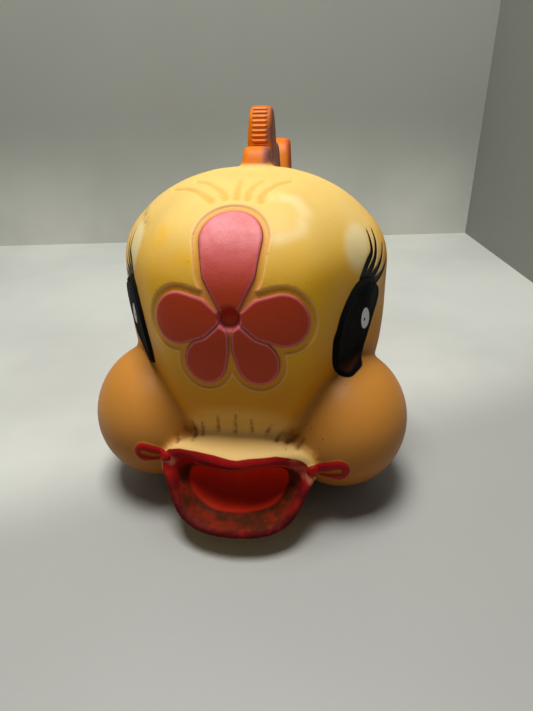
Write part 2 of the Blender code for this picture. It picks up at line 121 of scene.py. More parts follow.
def smooth_curve(points: np.ndarray, steps: int, closed: bool) -> np.ndarray:
    """Draws a smooth curve through points.

    Args:
        points: The points, in order.
        steps: Number of steps from one point to the next.
        closed: Whether the curve returns to its start.

    Returns:
        The points of the curve.
    """
    points = np.asarray(points, dtype=float)
    count = len(points)
    spans = count if closed else count - 1
    found = []
    for span in range(spans):
        if closed:
            index = [(span + offset) % count for offset in (-1, 0, 1, 2)]
        else:
            index = [min(max(span + offset, 0), count - 1) for offset in (-1, 0, 1, 2)]
        before, start, end, after = points[index]
        for step in range(steps):
            t = step / steps
            curve = 2 * start + (end - before) * t
            curve = curve + (2 * before - 5 * start + 4 * end - after) * t**2
            found.append(0.5 * (curve + (3 * start - before - 3 * end + after) * t**3))
    if not closed:
        found.append(points[-1])
    return np.array(found)


def rise(low: float, high: float, values: np.ndarray) -> np.ndarray:
    """Rises smoothly from 0 at `low` to 1 at `high`."""
    share = np.clip((values - low) / (high - low), 0.0, 1.0)
    return share * share * (3 - 2 * share)


def rounds_distance(points: np.ndarray, rounds: tuple[Round, ...]) -> np.ndarray:
    """Measures how far points lie outside a row of rounds, each joined to the next.

    Args:
        points: Points of the plane, one a row.
        rounds: Across, up and radius of each round, in order.

    Returns:
        The distances, negative inside.
    """
    pairs = zip(rounds, rounds[1:])
    return np.minimum.reduce([pair_distance(points, base, tip) for base, tip in pairs])


def pair_distance(points: np.ndarray, base: Round, tip: Round) -> np.ndarray:
    """Measures how far points lie outside two joined rounds, negative inside."""
    start = np.array(base[:2])
    axis = np.array(tip[:2]) - start
    length = float(np.linalg.norm(axis))
    axis = axis / length
    local = points - start
    along = local @ axis
    aside = np.abs(local @ np.array((-axis[1], axis[0])))
    slope = (base[2] - tip[2]) / length
    level = math.sqrt(1 - slope * slope)
    place = along * level - aside * slope
    near_base = np.hypot(aside, along) - base[2]
    near_tip = np.hypot(aside, along - length) - tip[2]
    between = aside * level + along * slope - base[2]
    return np.where(place < 0, near_base, np.where(place > level * length, near_tip, between))


def stroke_distance(
    points: np.ndarray, stroke: Stroke | np.ndarray, widths: tuple[float, float] = (0.0, 0.0)
) -> np.ndarray:
    """Measures how far points lie from a drawn stroke.

    Args:
        points: Points of the plane, one a row.
        stroke: The stroke's points in order.
        widths: Half width at its first and its last point.

    Returns:
        The distances from the stroke's edge, negative inside it.
    """
    line = np.asarray(stroke, dtype=float)
    nearest = np.full(len(points), np.inf)
    last = len(line) - 1
    for index, (start, end) in enumerate(zip(line, line[1:])):
        axis = end - start
        share = np.clip((points - start) @ axis / (axis @ axis), 0.0, 1.0)
        reach = np.linalg.norm(points - start - share[:, None] * axis, axis=1)
        width = widths[0] + (widths[1] - widths[0]) * (index + share) / last
        nearest = np.minimum(nearest, reach - width)
    return nearest


def outline_distance(points: np.ndarray, outline: Stroke) -> np.ndarray:
    """Measures how far points lie outside a smooth closed outline, negative inside it."""
    ring = smooth_curve(np.array(outline), 5, True)
    inside = np.zeros(len(points), dtype=bool)
    x, y = points[:, 0], points[:, 1]
    for (x1, y1), (x2, y2) in zip(ring, np.roll(ring, -1, axis=0)):
        if y1 != y2:
            crosses = (y1 > y) != (y2 > y)
            inside ^= crosses & (x < (x2 - x1) * (y - y1) / (y2 - y1) + x1)
    edge = stroke_distance(points, np.vstack((ring, ring[:1])))
    return np.where(inside, -edge, edge)


def mirrored(half: tuple[tuple[float, ...], ...]) -> list[tuple[float, ...]]:
    """Closes a ring from its right half, whose first and last points lie on the middle."""
    return list(half) + [(-x, *rest) for x, *rest in reversed(half[1:-1])]


@dataclass
class Blank:
    """The toy's outer form before its relief, in millimetres."""

    # Head: level height, front, corner half width, its set-back, half width, its Y, back
    head_levels: tuple[tuple[float, ...], ...] = (
        (8.0, -17.0, 14.0, 4.0, 28.0, 8.0, 36.0),
        (24.0, -24.5, 16.0, 5.0, 33.4, 8.0, 42.0),
        (38.0, -29.8, 18.0, 5.0, 39.6, 9.0, 46.0),
        (50.0, -31.5, 20.0, 5.5, 41.4, 10.0, 47.0),
        (62.0, -33.0, 21.5, 6.0, 41.6, 11.0, 46.0),
        (73.0, -32.0, 22.0, 6.0, 41.3, 12.0, 43.0),
        (80.0, -30.0, 21.5, 5.8, 38.4, 12.5, 40.0),
        (86.0, -26.0, 19.3, 5.0, 33.0, 13.0, 36.0),
        (90.5, -20.0, 16.2, 4.0, 27.2, 13.5, 32.0),
        (94.0, -12.0, 12.2, 3.0, 20.0, 14.0, 28.5),
        (96.1, -2.0, 7.5, 1.5, 12.8, 14.0, 25.0),
    )
    # Body behind the head: Y, half width, height of the middle, half height
    body_stations: tuple[tuple[float, ...], ...] = (
        (-14.0, 25.0, 40.0, 42.0),
        (0.0, 34.0, 43.0, 47.0),
        (20.0, 37.0, 45.0, 49.0),
        (38.0, 33.0, 46.5, 45.0),
        (54.0, 24.0, 49.0, 35.0),
        (68.0, 15.0, 52.0, 24.0),
        (80.0, 8.5, 55.0, 16.0),
        (90.0, 6.0, 56.5, 11.0),
    )
    cheek_size: tuple[float, float, float] = (42.0, 48.0, 43.0)
    cheek_middle: tuple[float, float, float] = (29.0, -6.0, 24.5)
    mouth_middle: tuple[float, float, float] = (0.0, -40.5, 19.5)
    mouth_lean: float = 27.0
    mouth_corner_set_back: float = 5.8
    mouth_half_width: float = 20.0
    # The rim's left half in the mouth's own plane, from the upper lip's middle to the lower's
    mouth_rim: tuple[Point, ...] = (
        (0.0, 6.6),
        (6.0, 7.4),
        (11.5, 8.6),
        (16.4, 9.2),
        (19.6, 7.6),
        (20.7, 4.3),
        (19.0, 0.8),
        (16.7, -3.8),
        (13.8, -7.9),
        (8.2, -10.5),
        (0.0, -11.0),
    )
    # Rings over the lips: depth behind the rim, growth of its outline, crown of the upper lip
    # in its middle, lift of the whole upper lip, and how far its inside has turned into an oval
    lip_rings: tuple[tuple[float, ...], ...] = (
        (22.0, 0.5, 6.4, 1.6, 0.0),
        (13.0, 1.4, 7.4, 1.6, 0.0),
        (7.5, 1.9, 6.6, 1.6, 0.0),
        (3.6, 2.3, 4.4, 1.6, 0.0),
        (1.2, 2.2, 1.6, 1.4, 0.0),
        (0.0, 1.2, 0.0, 0.7, 0.0),
        (0.3, -0.2, 0.0, 0.0, 0.0),
        (2.4, -1.2, 0.0, 0.0, 0.45),
        (5.2, -2.2, 0.0, 0.0, 0.85),
        (8.2, -4.4, 0.0, 0.0, 1.0),
        (9.8, -8.0, 0.0, 0.0, 1.0),
    )
    throat_oval: Point = (20.0, 9.4)
    fin_outline: tuple[Point, ...] = (
        (19.0, 92.0),
        (20.0, 98.0),
        (23.5, 101.6),
        (28.0, 101.4),
        (31.0, 99.5),
        (31.6, 104.0),
        (33.5, 109.6),
        (38.0, 112.6),
        (43.0, 111.4),
        (46.0, 106.5),
        (47.5, 100.5),
        (51.0, 100.8),
        (55.0, 98.0),
        (57.0, 92.0),
        (57.0, 84.0),
        (52.0, 74.0),
        (30.0, 80.0),
    )
    fin_root_height: float = 92.0
    fin_thickness: tuple[float, float] = (9.0, 7.4)
    tail_outline: tuple[Point, ...] = (
        (78.0, 60.0),
        (82.0, 70.0),
        (85.5, 82.0),
        (90.0, 92.5),
        (96.0, 97.0),
        (102.0, 95.0),
        (106.0, 86.0),
        (106.5, 74.0),
        (102.5, 62.5),
        (103.5, 52.0),
        (107.0, 42.0),
        (106.0, 32.0),
        (100.5, 27.0),
        (93.5, 29.0),
        (88.0, 36.0),
        (82.0, 45.0),
    )
    tail_root: Point = (84.0, 56.0)
    tail_thickness: tuple[float, float] = (11.0, 9.0)
    lip_join_middle: tuple[float, float, float] = (0.0, -28.0, 32.0)
    lip_join_size: tuple[float, float, float] = (26.0, 11.0, 10.0)
    guide_voxel: float = 0.5
    skin_voxel: float = 1.25
    # Smoothing passes that a voxel of 0.8 mm needs, for the skin and for the join of the upper lip
    passes: tuple[int, int] = (14, 90)

    def head(self) -> bpy.types.Object:
        """Lofts the head: a broad forehead, sides that flare backwards, a round back."""
        sections = []
        for z, front, corner, set_back, half_width, widest, back in self.head_levels:
            half = (
                (0.0, front),
                (corner * 0.55, front + set_back * 0.16),
                (corner, front + set_back),
                (corner * 0.5 + half_width * 0.5, front * 0.5 + widest * 0.5 + set_back * 0.1),
                (half_width, widest),
                (half_width * 0.84, widest * 0.42 + back * 0.58),
                (half_width * 0.46, widest * 0.08 + back * 0.92),
                (0.0, back),
            )
            sections.append([(x, y, z) for x, y in mirrored(half)])
        return self.loft("head", sections)

    def body(self) -> bpy.types.Object:
        """Lofts the body from inside the head to the root of the tail."""
        turns = np.arange(12) * math.tau / 12
        sections = []
        for y, half_width, middle, half_height in self.body_stations:
            across = half_width * np.cos(turns)
            upward = middle + half_height * np.sin(turns)
            sections.append(np.column_stack((across, np.full(12, y), upward)))
        return self.loft("body", sections)

    def mouth_frame(self, places: np.ndarray) -> tuple[np.ndarray, np.ndarray]:
        """Measures places in the mouth's own plane.

        Args:
            places: Places in millimetres, one a row.

        Returns:
            Across and up in the plane, and the depth behind the curved rim.
        """
        lean = math.radians(self.mouth_lean)
        local = places - np.array(self.mouth_middle)
        up = local[:, 1] * math.sin(lean) + local[:, 2] * math.cos(lean)
        depth = local[:, 1] * math.cos(lean) - local[:, 2] * math.sin(lean)
        share = np.clip(np.abs(local[:, 0]) / self.mouth_half_width, 0.0, 1.2)
        depth = depth - self.mouth_corner_set_back * share**2
        return np.column_stack((local[:, 0], up)), depth

    def mouth(self) -> bpy.types.Object:
        """Lofts the muzzle from its back over the lips and down into the throat."""
        lean = math.radians(self.mouth_lean)
        across = np.array(mirrored(self.mouth_rim))
        upward = np.array((0.0, math.sin(lean), math.cos(lean)))
        outward = np.array((0.0, -math.cos(lean), math.sin(lean)))
        sideways = np.array((1.0, 0.0, 0.0))
        top = across[:, 1].max()
        oval = across / np.linalg.norm(across / np.array(self.throat_oval), axis=1, keepdims=True)
        share = np.abs(across[:, 0]) / self.mouth_half_width
        sections = []
        for depth, growth, crown, lift, rounding in self.lip_rings:
            ring = across + (oval - across) * rounding * (across[:, 1:] > 0)
            ring = ring * (1 + growth / np.linalg.norm(ring, axis=1, keepdims=True))
            upper = np.clip(across[:, 1] / top, 0.0, 1.0)
            arch = np.cos(np.minimum(share, 1.0) * math.pi / 2) ** 2
            ring[:, 1] += upper * (crown * arch + lift)
            out = -depth - self.mouth_corner_set_back * share**2 * max(0.0, 1 - depth / 14.0)
            section = np.array(self.mouth_middle) + ring[:, :1] * sideways
            sections.append(section + ring[:, 1:] * upward + out[:, None] * outward)
        return self.loft("mouth", sections)

    def cheek(self, side: Side) -> bpy.types.Object:
        """Makes one puffed cheek from a sphere."""
        bpy.ops.object.select_all(action="DESELECT")
        x, y, z = (value * MM for value in self.cheek_middle)
        bpy.ops.mesh.primitive_uv_sphere_add(
            segments=48,
            ring_count=32,
            radius=1.0,
            location=(side.value * x, y, z),
            scale=[size * MM / 2 for size in self.cheek_size],
        )
        bpy.ops.object.transform_apply(location=True, rotation=True, scale=True)
        return bpy.context.object

    def dorsal_fin(self) -> bpy.types.Object:
        """Makes the two-lobed fin on the back."""
        tip = max(z for _, z in self.fin_outline)
        root, end = self.fin_thickness
        places = smooth_curve(np.array(self.fin_outline), 6, True)
        rising = (places[:, 1] - self.fin_root_height) / (tip - self.fin_root_height)
        return self.plate("fin", places, root + np.clip(rising, 0, 1) * (end - root))

    def tail_fan(self) -> bpy.types.Object:
        """Makes the upright tail fan."""
        places = smooth_curve(np.array(self.tail_outline), 6, True)
        root, end = self.tail_thickness
        reach = np.linalg.norm(places - np.array(self.tail_root), axis=1) / 40.0
        return self.plate("tail", places, root + np.clip(reach, 0, 1) * (end - root))

    def loft(self, name: str, sections: list) -> bpy.types.Object:
        """Makes a closed smooth loft.

        Args:
            name: Name of the object.
            sections: Rings of places in millimetres, all of one length.

        Returns:
            The new object.
        """
        rings = np.array([smooth_curve(section, 6, True) for section in sections])
        rings = smooth_curve(rings, 6, False) * MM
        mesh = bmesh.new()
        grid = [[mesh.verts.new(place) for place in ring] for ring in rings]
        around = len(grid[0])
        for lower, upper in zip(grid, grid[1:]):
            for index in range(around):
                after = (index + 1) % around
                mesh.faces.new((lower[index], lower[after], upper[after], upper[index]))
        for ring in (grid[0], grid[-1]):
            middle = mesh.verts.new(sum((vert.co for vert in ring), Vector()) / around)
            for index in range(around):
                mesh.faces.new((ring[index], ring[(index + 1) % around], middle))
        return self.made(name, mesh)

    def plate(self, name: str, places: np.ndarray, thickness: np.ndarray) -> bpy.types.Object:
        """Makes an upright plate on the middle plane.

        Args:
            name: Name of the object.
            places: The outline, Y and Z in millimetres.
            thickness: Thickness at each place of the outline.

        Returns:
            The new object.
        """
        mesh = bmesh.new()
        walls = []
        for side in Side:
            across = side.value * thickness / 2
            walls.append(
                [mesh.verts.new((x * MM, y * MM, z * MM)) for x, (y, z) in zip(across, places)]
            )
        for wall in walls:
            mesh.faces.new(wall)
        count = len(places)
        for index in range(count):
            after = (index + 1) % count
            ends = (walls[0][index], walls[0][after], walls[1][after], walls[1][index])
            mesh.faces.new(ends)
        return self.made(name, mesh)

    def made(self, name: str, mesh: bmesh.types.BMesh) -> bpy.types.Object:
        """Turns a bmesh into a linked object whose faces point outwards, and frees it."""
        bmesh.ops.recalc_face_normals(mesh, faces=mesh.faces)
        data = bpy.data.meshes.new(name)
        mesh.to_mesh(data)
        mesh.free()
        new = bpy.data.objects.new(name, data)
        bpy.context.scene.collection.objects.link(new)
        return new

    def fused(self, target: bpy.types.Object, voxel: float) -> None:
        """Turns overlapping forms into one softened skin of even quads."""
        ratio = (0.8 / voxel) ** 2
        remesh = target.modifiers.new("Fuse", "REMESH")
        remesh.mode = "VOXEL"
        remesh.voxel_size = voxel * MM
        soften = target.modifiers.new("Soften", "SMOOTH")
        soften.factor = 0.5
        soften.iterations = max(1, round(self.passes[0] * ratio))
        apply_all(target)
        group = target.vertex_groups.new(name="lip join")
        places = read_places(target)
        local = (places - np.array(self.lip_join_middle)) / np.array(self.lip_join_size)
        reach = np.linalg.norm(local, axis=1)
        for index in np.flatnonzero(reach < 1.0):
            group.add([int(index)], float(1 - reach[index] ** 2), "REPLACE")
        join = target.modifiers.new("Lip join", "SMOOTH")
        join.vertex_group = group.name
        join.iterations = max(1, round(self.passes[1] * ratio))
        apply_all(target)
        target.vertex_groups.clear()

    def build(self) -> tuple[bpy.types.Object, bpy.types.Object]:
        """Builds the blank.

        Returns:
            The skin of even quads, and a finer copy that guides its later refinement.
        """
        forms = [self.head(), self.body(), self.mouth(), self.dorsal_fin(), self.tail_fan()]
        forms += [self.cheek(side) for side in Side]
        bpy.ops.object.select_all(action="DESELECT")
        for form in forms:
            form.select_set(True)
        bpy.context.view_layer.objects.active = forms[0]
        bpy.ops.object.join()
        skin = forms[0]
        skin.name = "fish_skin"
        bpy.ops.object.duplicate()
        guide = bpy.context.object
        self.fused(guide, self.guide_voxel)
        self.fused(skin, self.skin_voxel)
        self.hug(skin, guide)
        return skin, guide

    def hug(self, skin: bpy.types.Object, guide: bpy.types.Object) -> None:
        """Lays the skin's points on the finer guide."""
        wrap = skin.modifiers.new("Hug", "SHRINKWRAP")
        wrap.target = guide
        wrap.wrap_method = "NEAREST_SURFACEPOINT"
        apply_all(skin)


def read_places(target: bpy.types.Object) -> np.ndarray:
    """Reads the places of the object's points, in millimetres, one a row."""
    places = np.empty(len(target.data.vertices) * 3)
    target.data.vertices.foreach_get("co", places)
    return places.reshape(-1, 3) / MM


@dataclass
class Drawing:
    """The toy's relief and painted fields, in millimetres on the planes they are drawn on."""

    face_middle: Point = (-32.0, 69.0)
    face_tilt: float = 28.0
    # Petals in order of overlap, each the rounds from the flower's middle out
    petals: tuple[tuple[Round, ...], ...] = (
        ((0.0, 3.2, 3.0), (0.0, 11.0, 6.6), (0.0, 18.9, 7.7)),
        ((-4.4, -0.8, 2.0), (-9.0, -0.8, 5.0), (-13.6, -0.8, 6.3)),
        ((4.4, -0.8, 2.0), (9.0, -0.8, 5.0), (13.6, -0.8, 6.3)),
        ((-2.9, -5.2, 2.4), (-5.0, -8.6, 4.4), (-6.9, -11.7, 5.4)),
        ((2.9, -5.2, 2.4), (5.0, -8.6, 4.4), (6.9, -11.7, 5.4)),
    )
    groove_width: float = 1.9
    groove_depth: float = 0.5
    # How far each petal stays off the ones before it
    petal_gaps: tuple[float, ...] = (0.0, 0.9, 0.9, 0.55, 0.6)
    hole: Point = (0.0, -0.8)
    hole_radius: float = 2.9
    hole_depth: float = 1.9
    crest: tuple[Stroke, ...] = (
        ((-22.0, 38.2), (-16.4, 36.4), (-11.9, 33.7), (-9.0, 31.6), (-6.7, 29.6)),
        ((-14.8, 39.8), (-10.5, 37.9), (-6.5, 34.9), (-3.9, 32.4), (-3.2, 30.6)),
        ((-0.8, 39.0), (-0.6, 34.9), (-0.2, 30.8)),
        ((5.6, 38.8), (3.4, 35.4), (2.6, 32.9), (2.8, 30.6)),
        ((12.8, 39.3), (9.6, 36.8), (7.2, 33.7), (6.2, 31.3), (6.4, 29.7)),
    )
    crest_widths: Point = (0.35, 0.85)
    pleats: tuple[Stroke, ...] = (
        ((-18.5, -33.9), (-18.1, -35.1)),
        ((-16.4, -31.4), (-16.0, -33.5)),
        ((-14.4, -29.4), (-13.3, -34.1)),
        ((-10.6, -27.3), (-11.1, -32.8)),
        ((-5.3, -26.6), (-6.0, -31.3)),
        ((-0.1, -26.2), (-1.0, -31.9)),
        ((4.1, -27.5), (3.9, -31.2)),
        ((9.6, -28.9), (7.9, -31.9)),
        ((12.5, -31.4), (11.0, -33.3)),
        ((16.4, -32.1), (13.9, -34.0)),
        ((18.6, -33.2), (17.1, -35.1)),
    )
    pleat_widths: Point = (0.3, 0.6)
    curls: tuple[tuple[Round, Round], ...] = (
        ((-20.8, -39.8, 1.3), (-28.2, -39.2, 2.9)),
        ((21.4, -41.4, 1.5), (28.9, -41.4, 3.1)),
    )
    curl_grooves: tuple[Stroke, ...] = (
        ((-22.5, -40.3), (-26.0, -39.9), (-28.6, -39.3)),
        ((22.5, -42.4), (26.5, -42.1), (29.2, -41.5)),
    )
    curl_height: float = 0.8
    # Upper edge of the red lip, and the lower edge of the band that hangs from it
    lip_edge: Stroke = (
        (-24.0, -42.5),
        (-22.2, -39.2),
        (-20.1, -37.5),
        (-16.7, -36.9),
        (-11.3, -37.1),
        (-5.8, -37.7),
        (-1.1, -38.6),
        (0.8, -38.7),
        (3.8, -38.1),
        (8.4, -37.6),
        (11.4, -37.2),
        (14.7, -37.6),
        (16.6, -38.2),
        (18.8, -39.5),
        (21.1, -41.8),
        (23.5, -45.0),
    )
    lip_depths: Point = (1.2, 2.6)
    band_line: Stroke = (
        (-12.9, -41.7),
        (-9.7, -43.0),
        (-4.8, -43.5),
        (-1.0, -43.4),
        (3.1, -42.4),
        (7.9, -41.4),
        (13.1, -40.7),
        (15.2, -41.3),
    )
    inner_rim: Stroke = (
        (-17.2, -43.2),
        (-17.6, -45.8),
        (-15.8, -51.7),
        (-13.9, -54.9),
        (-8.8, -57.5),
        (-3.6, -58.4),
        (2.9, -58.4),
        (9.1, -57.7),
        (13.2, -55.8),
        (15.3, -52.5),
        (16.9, -48.5),
        (18.2, -45.4),
        (17.4, -42.8),
        (13.1, -40.9),
        (7.9, -41.5),
        (3.1, -42.5),
        (-1.0, -43.5),
        (-4.8, -43.6),
        (-9.7, -43.1),
        (-13.2, -41.8),
    )
    throat: Stroke = (
        (-14.9, -45.0),
        (-14.6, -48.3),
        (-11.6, -52.1),
        (-8.0, -54.3),
        (-4.0, -55.0),
        (1.6, -54.9),
        (6.7, -54.2),
        (10.7, -52.4),
        (13.2, -49.2),
        (14.6, -45.1),
        (13.4, -41.7),
        (7.9, -41.7),
        (3.1, -42.7),
        (-1.0, -43.7),
        (-4.8, -43.8),
        (-9.7, -43.3),
        (-13.3, -42.6),
    )
    eye_middle: tuple[float, float, float] = (35.0, -4.0, 55.0)
    eye_turn: float = 28.0
    # How much further forward the eye on the toy's right side is painted
    eye_lead: float = 1.6
    eye_outline: Stroke = (
        (-0.6, 15.3),
        (-4.3, 15.7),
        (-8.5, 14.8),
        (-12.1, 12.7),
        (-15.0, 10.0),
        (-16.7, 7.0),
        (-17.3, 3.5),
        (-17.0, -0.5),
        (-15.8, -5.0),
        (-13.6, -8.6),
        (-9.6, -9.9),
        (-5.2, -9.9),
        (-2.4, -8.6),
        (0.1, -5.8),
        (1.9, -1.6),
        (3.6, 2.4),
        (5.6, 5.8),
        (6.5, 8.8),
        (5.6, 11.8),
        (3.0, 14.0),
    )
    # Lower edge of the eye on the toy's right side, where the cheek's crease ends it
    eye_hem: tuple[Point, Point] = ((-13.2, -11.2), (2.2, -4.2))
    # The left eye's brown foot in the crease above the cheek, on the face's plane
    eye_foot: Stroke = (
        (26.9, -3.6),
        (26.3, -9.0),
        (26.8, -12.0),
        (28.2, -14.1),
        (30.3, -14.6),
        (31.8, -14.0),
        (32.6, -12.2),
        (33.6, -9.8),
        (34.9, -6.4),
        (33.0, -3.6),
    )
    # How far the foot and the eye flow into each other
    eye_blend: float = 2.6
    eye_height: float = 1.1
    # Along, up, half width, half height and slope of the white glint
    glint: tuple[float, float, float, float, float] = (-1.9, 3.3, 2.4, 3.3, -0.37)
    glint_dot: tuple[float, float, float] = (-2.3, 3.1, 0.5)
    lashes: tuple[Stroke, ...] = (
        ((-3.6, 15.4), (0.1, 18.7), (3.9, 21.0), (5.2, 23.9), (6.0, 26.6)),
        ((-1.2, 14.9), (3.0, 17.3), (5.9, 19.7), (8.2, 23.2), (9.3, 26.2)),
        ((1.8, 14.1), (6.0, 15.6), (9.6, 17.8), (12.8, 21.4)),
        ((4.4, 12.4), (8.4, 13.2), (12.0, 14.6), (15.2, 17.0)),
    )
    lash_widths: Point = (1.4, 0.3)
    # Painted highlight on the forehead, beside the crest: a pale glossy patch
    painted_highlight: Stroke = ((9.6, 31.6), (14.8, 31.0), (17.6, 27.0), (16.8, 21.0), (11.6, 18.6))
    # A scuff on the shoulder, and the paler corners of the lips
    scuff: Stroke = ((-33.0, 35.9), (-30.6, 31.0), (-27.6, 26.6))
    pale_lip_corners: tuple[Stroke, ...] = (
        ((-21.6, -40.0), (-19.6, -41.0)),
        ((16.2, -39.4), (18.8, -41.8), (21.0, -44.0)),
    )
    # Ochre clouds in the yellow: across, up and radius
    clouds: tuple[Round, ...] = (
        (15.1, 15.0, 5.5),
        (-10.8, 13.8, 4.5),
        (24.0, 8.0, 6.0),
        (-20.0, 20.0, 5.0),
    )
    tail_grooves: tuple[Stroke, ...] = (
        ((88.0, 64.0), (92.0, 76.0), (96.0, 92.0)),
        ((90.0, 62.0), (96.0, 74.0), (101.0, 90.0)),
        ((92.0, 60.0), (98.0, 68.0), (104.0, 78.0)),
        ((91.0, 55.0), (97.0, 49.0), (104.0, 42.0)),
        ((89.0, 52.0), (95.0, 43.0), (102.0, 32.0)),
    )
    tail_start: float = 86.0
    # Where the fin's orange meets the head: Y and the height there, and its reach to each side
    fin_crown: tuple[tuple[float, ...], tuple[float, ...]] = (
        (18.0, 38.0, 54.0),
        (96.3, 94.0, 86.5),
    )
    fin_half_width: float = 5.6
    fin_reach: tuple[float, float] = (14.0, 70.0)
    # Furthest back that the pale patches beside the eyes go
    cream_end: float = 14.0
    # Front edge of the tall fin lobe, from its lowest rib to its highest
    rib_line: tuple[Point, Point] = ((31.4, 101.2), (35.6, 112.0))
    rib_pitch: float = 1.45
    rib_half_width: float = 2.3
    rib_height: float = 0.35

    def on_face(self, places: np.ndarray) -> np.ndarray:
        """Lays places on the tilted plane in front of the forehead."""
        tilt = math.radians(self.face_tilt)
        up = (places[:, 1] - self.face_middle[0]) * math.sin(tilt)
        up = up + (places[:, 2] - self.face_middle[1]) * math.cos(tilt)
        return np.column_stack((places[:, 0], up))

    def on_side(self, places: np.ndarray) -> np.ndarray:
        """Lays places on the upright plane of the eye on their side of the head."""
        turn = math.radians(self.eye_turn)
        along = (np.abs(places[:, 0]) - self.eye_middle[0]) * math.sin(turn)
        along = along + (places[:, 1] - self.eye_middle[1]) * math.cos(turn)
        return np.column_stack((along, places[:, 2] - self.eye_middle[2]))

    def fields(self, places: np.ndarray, blank: Blank) -> dict[str, np.ndarray]:
        """Measures every field of the drawing.

        Args:
            places: Places on the blank, in millimetres, one a row.
            blank: The blank, for its mouth and cheeks.

        Returns:
            For each field's name, the distance outside it at each place.
        """
        far = 60.0
        face, side = self.on_face(places), self.on_side(places)
        x, y, z = places.T
        front, brow = y < 14.0, z > 42.0
        found: dict[str, np.ndarray] = {}

        covering = np.full(len(places), far)
        pink = np.full(len(places), far)
        for petal, gap in zip(self.petals, self.petal_gaps):
            reach = rounds_distance(face, petal)
            pink = np.minimum(pink, np.maximum(reach, gap - covering))
            covering = np.minimum(covering, reach)
        found["pink"] = np.where(front & brow, pink, far)
        found["petals"] = np.where(front & brow, covering, far)
        hole = np.hypot(face[:, 0] - self.hole[0], face[:, 1] - self.hole[1]) - self.hole_radius
        found["hole"] = np.where(front & brow, hole, far)
        found["hole_up"] = face[:, 1] - self.hole[1]

        crest = [stroke_distance(face, stroke, self.crest_widths) for stroke in self.crest]
        found["crest"] = np.where(z > 84.0, np.minimum.reduce(crest), far)
        pleats = [stroke_distance(face, stroke, self.pleat_widths) for stroke in self.pleats]
        found["pleat"] = np.where(y < -17.0, np.minimum.reduce(pleats), far)

        outer = (y < -20.0) & (z < 40.0)
        curls = [rounds_distance(face, curl) for curl in self.curls]
        found["curl"] = np.where(outer, np.minimum.reduce(curls), far)
        grooves = [stroke_distance(face, stroke, (0.3, 0.7)) for stroke in self.curl_grooves]
        found["curl_groove"] = np.where(outer, np.minimum.reduce(grooves), far)

        plane, depth = blank.mouth_frame(places)
        edge_x, edge_v = np.array(self.lip_edge).T
        below = face[:, 1] - np.interp(x, edge_x, edge_v)
        low, high = self.lip_depths
        reach = low + (high - low) * rise(-9.0, 0.0, plane[:, 1])
        lip = np.where(plane[:, 1] > 5.0, below, np.maximum(below, depth - reach))
        lip = np.maximum(lip, np.abs(x) - 21.8 - 0.1 * np.maximum(plane[:, 1], 0.0))
        muzzle = outer & (depth < 11.0) & (np.abs(x) < 23.4)
        found["lip"] = np.where(muzzle | (outer & (depth < 14.0) & (np.abs(x) < 19.0)), lip, far)
        cavity = outer & (depth > -1.5) & (depth < 13.0)
        found["mouth"] = np.where(cavity, outline_distance(plane, mirrored(blank.mouth_rim)), far)
        found["mouth_up"] = plane[:, 1]
        found["rim"] = np.where(outer, outline_distance(face, self.inner_rim), far)
        found["throat"] = np.where(outer, outline_distance(face, self.throat), far)
        line = stroke_distance(face, smooth_curve(np.array(self.band_line), 4, False))
        found["band_line"] = np.where(outer & (depth > 0.5), line, far)

        sideways = np.abs(x) > 18.0
        side[:, 0] += np.where(x < 0.0, self.eye_lead, 0.0)
        eye = outline_distance(side, self.eye_outline)
        start, end = (np.array(point) for point in self.eye_hem)
        axis = (end - start) / np.linalg.norm(end - start)
        hem = (side - start) @ np.array((axis[1], -axis[0]))
        eye = np.maximum(eye, np.where(x < 0.0, hem, -far))
        foot = outline_distance(face, self.eye_foot)
        foot = np.where((z > 41.0) & (y < 0.0), foot, far)
        share = np.clip(0.5 + 0.5 * (foot - eye) / self.eye_blend, 0.0, 1.0)
        eye = share * eye + (1 - share) * foot - self.eye_blend * share * (1 - share)
        found["eye"] = np.where(sideways, eye, far)
        found["eye_up"] = side[:, 1]
        found["eye_along"] = side[:, 0]
        gx, gz, wide, tall, slope = self.glint
        rising = side[:, 1] - gz - slope * (side[:, 0] - gx)
        found["glint"] = (np.hypot((side[:, 0] - gx) / wide, rising / tall) - 1) * wide
        dx, dz, radius = self.glint_dot
        found["glint_dot"] = np.hypot(side[:, 0] - dx, side[:, 1] - dz) - radius
        curves = [smooth_curve(np.array(stroke), 4, False) for stroke in self.lashes]
        lashes = [stroke_distance(side, curve, self.lash_widths) for curve in curves]
        found["lash"] = np.where(sideways & (z > 60.0), np.minimum.reduce(lashes), far)

        start, end = (np.array(point) for point in self.rib_line)
        axis = (end - start) / np.linalg.norm(end - start)
        local = places[:, 1:] - start
        found["rib_along"] = local @ axis
        off = np.maximum(
            np.abs(x) - self.rib_half_width, local @ np.array((axis[1], -axis[0])) - 2.2
        )
        found["rib"] = np.where((z > 101.5) & (y > 30.0) & (y < 41.0), off, far)
        tail = [stroke_distance(places[:, 1:], stroke) for stroke in self.tail_grooves]
        found["tail"] = np.where(y > self.tail_start, np.minimum.reduce(tail), far)
        return found

